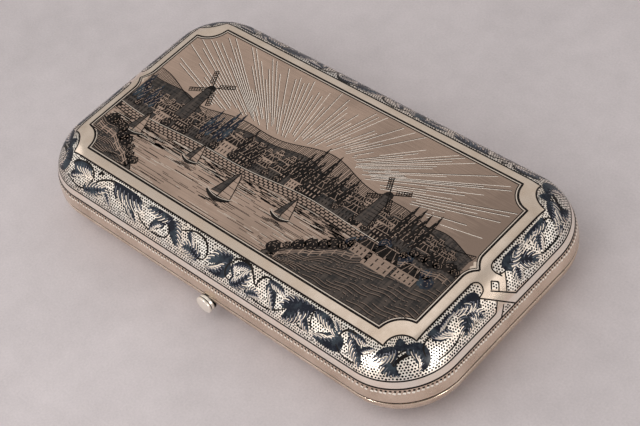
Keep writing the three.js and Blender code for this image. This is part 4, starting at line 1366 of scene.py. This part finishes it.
class SNUFF_OT_picture(bpy.types.Operator):
    """Picture of a river landscape: rays, hills, mills, houses, trees, a quay, boats and banks"""

    bl_idname = "snuff.picture"
    bl_label = "Picture"

    TONES = ("black niello", "leaf niello", "bright cut", "satin silver", "hatched silver", "white cut")
    # Height of a layer, and what stays clear inside the frame.
    LAYER = 0.001
    MARGIN = 0.55
    # Points at which a ray is tried against the hills, and lengths that it is drawn in.
    RAY_POINTS, RAY_PIECES = 80, 16
    WHITE_RAY_HALF, DARK_RAY_HALF, DARK_RAY_ASIDE = 0.036, 0.050, 0.14
    # Left of here every ray has a dark one beside it.
    ALL_DARK = -8
    # Layers over the ground, from the sky to the front, with room for more between them.
    SKY, RANGES, VILLAGE, POPLARS, MILLS, WALL, FRONT = 1, 2, 4, 24, 26, 29, 31
    ROW_LAYERS = 5
    # Half widths of the engraver's lines.
    HAIR, THIN, LINE = 0.045, 0.06, 0.08
    # Rows of houses: level over the quay, count, height and half width.
    HOUSE_ROWS = ((4.1, 31, 1.2, 0.85), (2.9, 27, 1.45, 1.0), (1.55, 23, 1.75, 1.2), (0.15, 19, 2.1, 1.45))
    # Leaf marks of a round tree: direction from its middle in degrees, and share of its radius.
    OUTER_MARKS = ((25, 0.75), (70, 0.8), (115, 0.78), (160, 0.75))
    INNER_MARKS = ((50, 0.35), (130, 0.35))
    LOWER_MARKS = ((215, 0.5), (320, 0.5))
    # Clumps of poplars: middle along the panel, count and height.
    CLUMPS = ((-34.5, 4, 5.6), (-17.5, 4, 7.0), (-9.0, 3, 5.4), (2.5, 5, 7.4), (9.5, 3, 5.4), (25.5, 4, 6.8))
    # Strokes of the water: count, depth of their field, longest reach, half width and tone.
    RIPPLES = (
        (440, 2.4, 2.4, 0.075, BLACK),
        (240, 10.5, 6.5, 0.045, BLACK),
        (130, 10.5, 6.5, 0.04, BRIGHT),
    )
    # Boats: place and size.
    BOATS = ((-30.5, -10.6, 1.0), (-16.5, -9.8, 0.85), (-6.5, -13.0, 1.25), (5.5, -10.4, 0.95))

    def execute(self, context):
        self.form = BoxForm(context.scene.snuff_box_sizes)
        self.chance = np.random.default_rng(41)
        self.inlay = Inlay(self.form)
        self.rays()
        self.hills()
        self.village()
        self.poplars()
        self.mill(np.array([-25.5, -3.0]), 7.8)
        self.mill(np.array([17.5, -3.4]), 6.8)
        self.quay()
        self.water()
        self.boats()
        self.bank((8.0, 37.6), -3.4)
        self.bank((-23.5, -37.6), -10.6)
        self.farm(np.array([25.5, -9.6]))
        self.inlay.piece("picture", self.TONES, "niello")
        return {"FINISHED"}

    def lay(self, grids, layer, tone):
        """Lays plan grids on a layer over the ground, leaving out those that leave the frame."""
        x, y = grids[..., 0], grids[..., 1]
        reach = picture_reach(self.form, y) - self.MARGIN
        kept = (np.abs(x) < reach) & (np.abs(y) < self.form.frame_width - self.MARGIN)
        kept = kept.all(axis=(1, 2))
        if kept.any():
            self.inlay.lay(grids[kept], PICTURE_LIFT + self.LAYER * layer, plan=True, tone=tone)

    def pieces(self, starts, ends, half, layer, tone, steps=6):
        """Strokes cut into short lengths, so that those past the frame fall away."""
        q = np.linspace(0, 1, steps + 1)[:, None, None]
        knots = starts[None] * (1 - q) + ends[None] * q
        self.lay(strokes(knots[:-1].reshape(-1, 2), knots[1:].reshape(-1, 2), half), layer, tone)

    def field(self, x, low, high, layer, tone, rows=10):
        """A filled field between two lines over x, cut into small cells so that it follows the frame."""
        share = np.linspace(0, 1, rows + 1)[:, None]
        level = low + (high - low) * share
        self.lay(cells_of(np.stack([np.broadcast_to(x, level.shape), level], -1)), layer, tone)

    def panel(self, low_left, low_right, high_left, high_right, layer, tone):
        """Four-cornered fields from their corners, each (n, 2)."""
        grids = np.stack([np.stack([low_left, low_right], 1), np.stack([high_left, high_right], 1)], 1)
        self.lay(grids, layer, tone)

    def rays(self):
        """White rays from behind the hills to even places along the frame, most with a dark one beside."""
        side_y, top_x = np.linspace(2.0, 16.2, 18), np.linspace(-36.4, 36.4, 70)
        right = np.stack([0 * side_y + 37.3, side_y], -1)
        end = np.concatenate([right, np.stack([top_x, 0 * top_x + 16.8], -1), right * (-1, 1)])
        count = len(end)
        short = np.arange(count) % 3 == 1
        q = np.linspace(0, 1, self.RAY_POINTS)[None, :, None]
        points = SUN + (end - SUN)[:, None] * q
        crest = ridge(points[..., 0], *HILLS) + 0.4
        hidden = points[..., 1] < crest + 1.8 * self.chance.random(count)[:, None]
        last = self.RAY_POINTS - 1
        near = np.minimum(self.RAY_POINTS - np.argmax(hidden[:, ::-1], axis=1), last) / last
        near = np.where(short, near + 0.3 * (1 - near) * self.chance.random(count), near)
        far = 1 - 0.5 * self.chance.random(count) ** 2
        start = SUN + (end - SUN) * near[:, None]
        stop = SUN + (end - SUN) * np.maximum(far, near)[:, None]
        way = (end - SUN) / np.linalg.norm(end - SUN, axis=1, keepdims=True)
        aside = np.stack([-way[:, 1], way[:, 0]], -1) * self.DARK_RAY_ASIDE
        self.pieces(start, stop, self.WHITE_RAY_HALF, self.SKY, WHITE, self.RAY_PIECES)
        dark = (end[:, 0] < self.ALL_DARK) | ~short
        dark_start, dark_stop = (start + aside)[dark], (stop + aside)[dark]
        self.pieces(dark_start, dark_stop, self.DARK_RAY_HALF, self.SKY, BLACK, self.RAY_PIECES)

    def hills(self):
        """Two ranges under their skylines: open strokes on the far one, a flecked dark field on the near."""
        x = np.arange(-37.4, 37.4, 0.34)
        far, near, foot = ridge(x, *HILLS), ridge(x, *FOOTHILLS), ridge(x, *QUAY)
        shaken = x + self.chance.normal(0, 0.04, len(x))
        low, top = np.stack([shaken, near - 0.5], -1), np.stack([shaken + 0.3, far], -1)
        self.pieces(low, top, 0.07, self.SKY, BLACK, 5)
        self.field(x, foot, near, self.RANGES, HATCHED, 4)
        for share in np.linspace(0.06, 0.4, 5):
            spot = np.stack([x, near - share * (near - foot)], -1)[self.chance.random(len(x)) < 0.6]
            self.lay(strokes(spot, spot + (0.26, 0.12), self.THIN), self.RANGES + 1, BLACK)
        line = np.linspace(-37.3, 37.3, 260)
        for skyline in (HILLS, FOOTHILLS):
            crest = np.stack([line, ridge(line, *skyline)], -1)
            self.pieces(crest[:-1], crest[1:], 0.09, self.RANGES + 1, BLACK, 1)

    def village(self):
        """Four rows of houses above the quay, the front ones larger, with round trees between them."""
        for row, (level, count, tall, wide) in enumerate(self.HOUSE_ROWS):
            layer = self.VILLAGE + self.ROW_LAYERS * row
            x = np.linspace(-36.0, 33.0, count) + self.chance.normal(0, 0.35, count)
            foot = np.stack([x, ridge(x, *QUAY) + level + self.chance.normal(0, 0.12, count)], -1)
            half = wide * (0.75 + 0.4 * self.chance.random(count))
            high = tall * (0.8 + 0.5 * self.chance.random(count))
            for start, wall in ((0, HATCHED), (1, HATCHED), (2, PALE), (3, BLACK)):
                some = slice(start, None, 4)
                self.houses(foot[some], half[some], high[some], wall, layer)
            tree = foot + np.stack([1.25 * half, 0.4 * tall + 0 * half], -1)
            tree = tree[self.chance.random(count) < 0.85]
            self.crowns(tree, 0.5 * wide + 0.5 * self.chance.random(len(tree)), layer + 3, BLACK)

    def houses(self, foot, half, high, wall, layer):
        """Houses: an outlined wall, two rows of windows, a hipped roof with pale lines, and a chimney."""
        left, right = foot - half[:, None] * ACROSS, foot + half[:, None] * ACROSS
        rise = high[:, None] * UP
        self.panel(left, right, left + rise, right + rise, layer, wall)
        pane = PALE if wall == BLACK else BLACK
        for side in (-0.72, -0.24, 0.24, 0.72):
            for share in (0.14, 0.58):
                sill = foot + (side * half)[:, None] * ACROSS + share * rise
                self.lay(strokes(sill, sill + 0.26 * rise, 0.12), layer + 1, pane)
        for corner in (left, right):
            self.lay(strokes(corner, corner + rise, self.THIN), layer + 1, BLACK)
        peak = foot + rise + (0.85 * half)[:, None] * UP
        eaves = left + rise - 0.15 * ACROSS, right + rise + 0.15 * ACROSS
        crest = peak - 0.55 * half[:, None] * ACROSS, peak + 0.55 * half[:, None] * ACROSS
        stack = peak + 0.3 * half[:, None] * ACROSS
        self.lay(strokes(stack - 0.2 * UP, stack + 0.45 * UP, 0.13), layer, BLACK)
        self.panel(*eaves, *crest, layer + 1, BLACK)
        for share in (0.2, 0.5, 0.8):
            low = eaves[0] * (1 - share) + eaves[1] * share
            top = crest[0] * (1 - share) + crest[1] * share
            self.lay(strokes(low, 0.1 * low + 0.9 * top, 0.05), layer + 2, PALE)
        self.lay(strokes(*crest, self.THIN), layer + 2, PALE)
        self.lay(strokes(*eaves, self.THIN), layer + 2, PALE)

    def crowns(self, centres, radius, layer, tone):
        """Round trees: lobed dark crowns, each with pale bowed leaf marks."""
        count = len(centres)
        q = np.linspace(-1, 1, 13)[None]
        lobes = 1 + 0.14 * np.sin(9 * q + 6 * self.chance.random(count)[:, None])
        bow = radius[:, None] * np.sqrt(1 - q**2) * lobes
        x = centres[:, :1] + radius[:, None] * q
        self.lay(between(x, centres[:, 1:] - 0.75 * bow, centres[:, 1:] + bow), layer, tone)
        curve = np.linspace(-0.5, 0.5, 4)[None, :, None]
        for turn, reach in self.OUTER_MARKS + self.INNER_MARKS + self.LOWER_MARKS:
            angle = np.radians(turn) + 0.3 * self.chance.normal(0, 1, count)
            way = np.stack([np.cos(angle), 0.85 * np.sin(angle)], -1)
            aside = np.stack([-way[:, 1], way[:, 0]], -1)
            spot = centres + (reach * radius)[:, None] * way
            mark = spot[:, None] + 0.32 * curve * aside[:, None] - 0.3 * curve**2 * way[:, None]
            self.lay(ribbons(mark, self.HAIR), layer + 1, PALE)

    def poplars(self):
        """Poplars in clumps: spindles with pale strokes, some tall before the sky."""
        q = np.linspace(0, 1, 12)
        for middle, count, tall in self.CLUMPS:
            x = middle + np.linspace(-1, 1, count) * 0.58 * count + self.chance.normal(0, 0.15, count)
            foot = ridge(x, *QUAY) + 1.9
            high = tall * (0.7 + 0.5 * self.chance.random(count))
            path = np.stack([x[:, None] + 0 * q, foot[:, None] + high[:, None] * q], -1)
            swell = 0.55 * np.sin(np.pi * np.clip(q * 1.02, 0, 1) ** 0.65) ** 0.8 + 0.03
            self.lay(ribbons(path, swell[None]), self.POPLARS, LEAF if middle < -15 else BLACK)
            for k in range(7):
                spot = np.stack([x + 0.2 * ((k % 3) - 1), foot + high * (0.12 + 0.11 * k)], -1)
                self.lay(strokes(spot, spot + (0.10, 0.45), self.HAIR), self.POPLARS + 1, PALE)

    def mill(self, foot, tall):
        """A tower mill: a tapered hatched tower with courses, a cap and four latticed sails."""
        head = foot + tall * UP
        q = np.linspace(0, 1, 8)[:, None]
        tower = (foot * (1 - q) + head * q)[None]
        half = np.linspace(1.45, 0.8, 8)
        self.lay(ribbons(tower, half[None]), self.MILLS, HATCHED)
        for side in (-1, 1):
            self.lay(ribbons(tower + (side * half)[:, None] * ACROSS, self.LINE), self.MILLS + 1, BLACK)
        level = np.linspace(0.08, 0.92, 9)
        middle = foot + np.outer(level, tall * UP)
        wide = np.outer(np.interp(level, [0, 1], [1.4, 0.8]), ACROSS)
        self.lay(strokes(middle - 0.1 * wide, middle + wide, self.THIN), self.MILLS + 1, BLACK)
        bow = np.linspace(-1, 1, 9)
        low = head[1] - 0.1 + 0 * bow
        cap = between((head[0] + 1.0 * bow)[None], low[None], (low + 1.0 * np.sqrt(1 - bow**2))[None])
        self.lay(cap, self.MILLS + 1, BLACK)
        turn = np.radians(np.array([28, 118, 208, 298]))
        way = np.stack([np.cos(turn), np.sin(turn)], -1)
        hub = np.repeat((head + 0.3 * UP)[None], 4, 0)
        tip = hub + way * 0.55 * tall
        self.lay(strokes(hub, tip, 0.10, 4), self.MILLS + 2, BLACK)
        aside = np.stack([-way[:, 1], way[:, 0]], -1)
        for share in np.linspace(0.3, 0.98, 7):
            spot = hub * (1 - share) + tip * share
            self.lay(strokes(spot, spot + aside * 0.8, self.THIN), self.MILLS + 2, BLACK)
        for away in (0.4, 0.8):
            inner = hub * 0.7 + tip * 0.3
            self.lay(strokes(inner + aside * away, tip + aside * away, self.THIN), self.MILLS + 2, BLACK)

    def quay(self):
        """A quay of pale blocks in three courses on a dark wall, under a pale coping."""
        x = np.linspace(-37.4, 30, 180)
        top = ridge(x, *QUAY)
        self.field(x, top - 1.66, top + 0.12, self.WALL, BLACK, 1)
        for course in range(3):
            start = np.arange(-37.0 + 0.5 * (course % 2), 29, 1.02)
            block = np.stack([start, ridge(start, *QUAY) - 0.32 - 0.50 * course], -1)
            self.lay(strokes(block, block + 0.76 * ACROSS, 0.16), self.WALL + 1, PALE)
        line = np.stack([x, top + 0.05], -1)
        self.pieces(line[:-1], line[1:], self.THIN, self.WALL + 1, BRIGHT, 1)

    def water(self):
        """Still water: dark broken strokes close under the quay, sparse dark and bright ones before them."""
        chance = self.chance
        for count, depth, longest, half, tone in self.RIPPLES:
            x = chance.uniform(-38, 30, count)
            level = ridge(x, *QUAY) - 1.75 - chance.random(count) ** 1.2 * depth
            spot = np.stack([x, level], -1)
            reach = 0.5 + longest * chance.random(count)
            layer = self.SKY if tone == BLACK else self.SKY + 1
            self.lay(strokes(spot, spot + np.outer(reach, ACROSS), half), layer, tone)

    def boats(self):
        """Boats: a dark hull, a pale strake, a mast and two seamed sails over a broken shadow."""
        q = np.linspace(0, 1, 9)
        for x, y, size in self.BOATS:
            spot = np.array([x, y])
            reach = np.linspace(-1.6, 1.6, 7)
            ripple = spot + np.stack([reach * size, -0.65 - 0.37 * np.abs(reach)], -1)
            self.lay(strokes(ripple - 0.9 * ACROSS, ripple + 0.9 * ACROSS, 0.07), self.SKY + 2, BLACK)
            keel = np.stack([(q - 0.5) * 4.4, 0.55 * (2 * q - 1) ** 2], -1)[None] * size + spot
            hull = 0.46 * size * np.sin(np.pi * (0.08 + 0.84 * q))
            self.lay(ribbons(keel, hull[None]), self.FRONT, BLACK)
            self.lay(ribbons(keel + 0.22 * size * UP, self.THIN), self.FRONT + 1, BRIGHT)
            for side, foot, tone in ((1, 1.9, PALE), (-1, 1.4, HATCHED)):
                luff = np.stack([side * 0.1 + 0 * q, 0.9 + 4.2 * q], -1)
                leech = np.stack([side * (0.1 + foot * (1 - q) ** 0.8), 0.75 + 4.35 * q], -1)
                sail = np.stack([luff, leech], 0)[None] * size + spot
                self.lay(sail, self.FRONT, tone)
                self.lay(ribbons(sail[:, 1], self.LINE), self.FRONT + 1, BLACK)
                self.lay(strokes(sail[0, 0, 1:-1:2], sail[0, 1, 1:-1:2], 0.05), self.FRONT + 1, BLACK)
            mast = spot + np.array([[0.0, 0.2], [0.0, 5.5]]) * size
            self.lay(strokes(mast[:1], mast[1:], 0.09, 4), self.FRONT + 2, BLACK)

    def bank(self, span, high):
        """A bank at the front: a hatched field with furrows under a swelling edge, a fence and trees."""
        inner, outer = span
        low = -17.0
        share = np.linspace(0, 1, int(abs(outer - inner) / 0.25))
        x = inner + (outer - inner) * share
        top = low + (high - low) * np.sin(share * np.pi / 2) ** 0.8 + 0.25 * np.sin(x / 0.9)
        self.field(x, np.full_like(x, low), top, self.FRONT, HATCHED, 14)
        for drop in np.linspace(0.08, 0.95, 15):
            line = np.stack([x, top - drop * (top - low) + 0.12 * np.sin(1.3 * x + 9 * drop)], -1)
            kept = np.sin(0.7 * x + 20 * drop) + self.chance.normal(0, 0.4, len(x)) > -0.5
            kept = kept[:-1] & (top - low > 1.0)[:-1]
            start, stop = line[:-1][kept], line[1:][kept]
            self.lay(strokes(start, stop, self.LINE), self.FRONT + 1, BLACK)
            self.lay(strokes(start + 0.16 * UP, stop + 0.16 * UP, 0.035), self.FRONT + 1, PALE)
        edge = np.stack([x, top], -1)
        self.pieces(edge[:-1], edge[1:], 0.12, self.FRONT + 1, BLACK, 1)
        wood = edge[5:-4:6] + self.chance.normal(0, 0.25, edge[5:-4:6].shape) + 0.5 * UP
        self.crowns(wood, 0.75 + 0.7 * self.chance.random(len(wood)), self.FRONT + 2, BLACK)
        post = edge[4:-2:6] - 1.5 * UP
        self.lay(strokes(post - 0.7 * UP, post + 0.6 * UP, 0.10), self.FRONT + 5, PALE)
        for rail in (-0.15, 0.3):
            self.lay(strokes(post[:-1] + rail * UP, post[1:] + rail * UP, 0.075), self.FRONT + 4, PALE)

    def farm(self, foot):
        """A farmhouse and two barns on the bank, before tall trees."""
        behind = ((-6.2, 2.2), (-4.9, 3.6), (2.9, 4.4), (4.3, 3.2), (8.6, 2.6), (-1.6, 4.9), (7.6, 3.9))
        radius = np.array([1.3, 1.1, 1.5, 1.3, 1.4, 1.2, 1.1])
        self.crowns(foot + np.array(behind), radius, self.FRONT + 2, LEAF)
        places = foot + np.array([(-3.9, 0.9), (0.0, 0.0), (5.2, 0.7)])
        half, high = np.array([1.9, 2.7, 2.1]), np.array([1.9, 2.6, 1.8])
        self.houses(places, half, high, PALE, self.FRONT + 3)


# Stage


class SNUFF_OT_stage(bpy.types.Operator):
    """Stage: paper floor, soft studio light and the camera"""

    bl_idname = "snuff.stage"
    bl_label = "Stage"

    # The photo's camera: place in metres and its three axes, then lens and sensor in millimetres.
    CAMERA_PLACE = (0.154511, -0.110264, 0.208264)
    CAMERA_RIGHT = (0.722069, 0.669211, -0.175422)
    CAMERA_UP = (-0.421914, 0.626922, 0.654948)
    CAMERA_BACK = (0.548275, -0.398905, 0.735030)
    CAMERA_LENS = 91.608
    SENSOR_WIDTH = 36.0
    # Half the length of the paper, in millimetres, and points along it.
    FLOOR_HALF = 1500.0
    FLOOR_STEPS = 9
    # Soft boxes that the metal shows: place, width and height in metres, brightness beside the even light.
    SHOWN_BOXES = {
        "overhead": ((-0.145, 0.0, 0.90), 0.75, 0.96, 0.33),
        "front key": ((-0.045, -0.475, 0.205), 0.08, 0.08, 44.0),
        "front fill": ((-0.76, -0.50, 0.42), 1.00, 0.60, 0.55),
        "back fill": ((0.57, 0.68, 0.46), 0.80, 0.50, 0.50),
        "side": ((0.74, 0.13, 0.27), 0.30, 0.12, 2.6),
        "side key": ((0.505, -0.06, 0.195), 0.06, 0.06, 85.0),
    }
    # Soft box that lights what is matt, above all the paper, so that only a close shadow lies round the box.
    PAPER_BOXES = {"paper light": ((0.0, -0.13, 0.17), 0.20, 0.20, 1.35)}
    # Rise of a soft box's direction past which its top points to +Y and no longer up.
    STEEP = 0.95
    # Even light: brightness on paper, then height of the direction and brightness shown by the metal.
    PAPER_EVEN = 0.68
    SHOWN_EVEN = ((0.0, 0.50), (0.34, 0.50), (0.60, 0.54), (0.82, 0.44))

    def execute(self, context):
        colours = context.scene.snuff_box_colours
        self.floor(tuple(colours.floor))
        self.lights(tuple(colours.light))
        self.camera(context)
        context.scene.view_settings.view_transform = "Standard"
        return {"FINISHED"}

    def floor(self, tone):
        """A level sheet under the box."""
        reach = np.linspace(-1, 1, self.FLOOR_STEPS) * self.FLOOR_HALF
        x, y = np.meshgrid(reach, reach, indexing="ij")
        points = np.stack([x, y, 0 * x], -1).reshape(-1, 3)
        quads = grid_quads(1, self.FLOOR_STEPS, self.FLOOR_STEPS)
        floor = mesh_object("floor", points, quads, [floor_paper("floor_paper", tone)])
        floor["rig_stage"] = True

    def lights(self, tint):
        """Even light all round and soft boxes turned to the box."""
        self.even_light(tint)
        for boxes, shown in ((self.SHOWN_BOXES, True), (self.PAPER_BOXES, False)):
            for name, (place, wide, high, bright) in boxes.items():
                lamp = bpy.data.lights.new(name, "AREA")
                lamp.shape, lamp.size, lamp.size_y, lamp.color = "RECTANGLE", wide, high, tint
                lamp.energy = bright * np.pi * wide * high
                light = bpy.data.objects.new(name, lamp)
                light.visible_glossy, light.visible_diffuse = shown, not shown
                back = np.array(place) / np.linalg.norm(place)
                right = np.cross((0.0, 0.0, 1.0) if abs(back[2]) < self.STEEP else (0.0, 1.0, 0.0), back)
                right /= np.linalg.norm(right)
                self.pose(light, right, np.cross(back, right), back, place)

    def even_light(self, tint):
        """A world that is plain on paper and falls off towards the top in the metal's reflections."""
        world = bpy.data.worlds.new("studio")
        bpy.context.scene.world = world
        world.use_nodes = True
        nodes, links = world.node_tree.nodes, world.node_tree.links
        way, split = nodes.new("ShaderNodeTexCoord"), nodes.new("ShaderNodeSeparateXYZ")
        fall, ray = nodes.new("ShaderNodeValToRGB"), nodes.new("ShaderNodeLightPath")
        stops = fall.color_ramp.elements
        for _ in range(len(self.SHOWN_EVEN) - 2):
            stops.new(0.5)
        for stop, (place, bright) in zip(stops, self.SHOWN_EVEN):
            stop.position, stop.color = place, (bright, bright, bright, 1.0)
        blend = nodes.new("ShaderNodeMix")
        blend.inputs["A"].default_value = self.PAPER_EVEN
        background = nodes["Background"]
        background.inputs["Color"].default_value = (*tint, 1.0)
        links.new(way.outputs["Generated"], split.inputs[0])
        links.new(split.outputs["Z"], fall.inputs["Fac"])
        links.new(ray.outputs["Is Glossy Ray"], blend.inputs["Factor"])
        links.new(fall.outputs["Color"], blend.inputs["B"])
        links.new(blend.outputs["Result"], background.inputs["Strength"])

    def camera(self, context):
        """The viewing camera."""
        lens = bpy.data.cameras.new("camera")
        lens.lens, lens.sensor_width, lens.sensor_fit = self.CAMERA_LENS, self.SENSOR_WIDTH, "HORIZONTAL"
        lens.clip_start, lens.clip_end = 0.01, 10.0
        camera = bpy.data.objects.new("camera", lens)
        self.pose(camera, self.CAMERA_RIGHT, self.CAMERA_UP, self.CAMERA_BACK, self.CAMERA_PLACE)
        context.scene.camera = camera

    @staticmethod
    def pose(thing, right, up, back, place):
        """Links an object and sets its axes and its place."""
        bpy.context.scene.collection.objects.link(thing)
        columns = np.array([right, up, back, place]).T
        thing.matrix_world = Matrix([*columns.tolist(), [0.0, 0.0, 0.0, 1.0]])


# Sidebar and start

OPERATORS = (
    SNUFF_OT_lid_skin,
    SNUFF_OT_base_skin,
    SNUFF_OT_push_button,
    SNUFF_OT_small_parts,
    SNUFF_OT_lid_lines,
    SNUFF_OT_lid_stipple,
    SNUFF_OT_scroll_border,
    SNUFF_OT_picture_ground,
    SNUFF_OT_picture,
    SNUFF_OT_stage,
)


class SNUFF_PT_sidebar(bpy.types.Panel):
    """Sidebar with the sizes, the colours and the pieces"""

    bl_idname = "SNUFF_PT_sidebar"
    bl_label = "Snuff Box"
    bl_space_type = "VIEW_3D"
    bl_region_type = "UI"
    bl_category = "Snuff Box"

    def draw(self, context):
        for operator in OPERATORS:
            self.layout.operator(operator.bl_idname)
        for group in (context.scene.snuff_box_sizes, context.scene.snuff_box_colours):
            column = self.layout.column(align=True)
            for name in group.__annotations__:
                column.prop(group, name)


CLASSES = (SnuffBoxSizes, SnuffBoxColours, *OPERATORS, SNUFF_PT_sidebar)


def register():
    """Registers the classes and hangs the two groups of values on the scene."""
    for each in CLASSES:
        bpy.utils.register_class(each)
    bpy.types.Scene.snuff_box_sizes = PointerProperty(type=SnuffBoxSizes)
    bpy.types.Scene.snuff_box_colours = PointerProperty(type=SnuffBoxColours)


def unregister():
    """Takes the groups and the classes away again."""
    del bpy.types.Scene.snuff_box_colours
    del bpy.types.Scene.snuff_box_sizes
    for each in reversed(CLASSES):
        bpy.utils.unregister_class(each)


def main():
    """Builds every piece and the stage."""
    register()
    for operator in OPERATORS:
        group, name = operator.bl_idname.split(".")
        getattr(getattr(bpy.ops, group), name)()


if __name__ == "__main__":
    main()
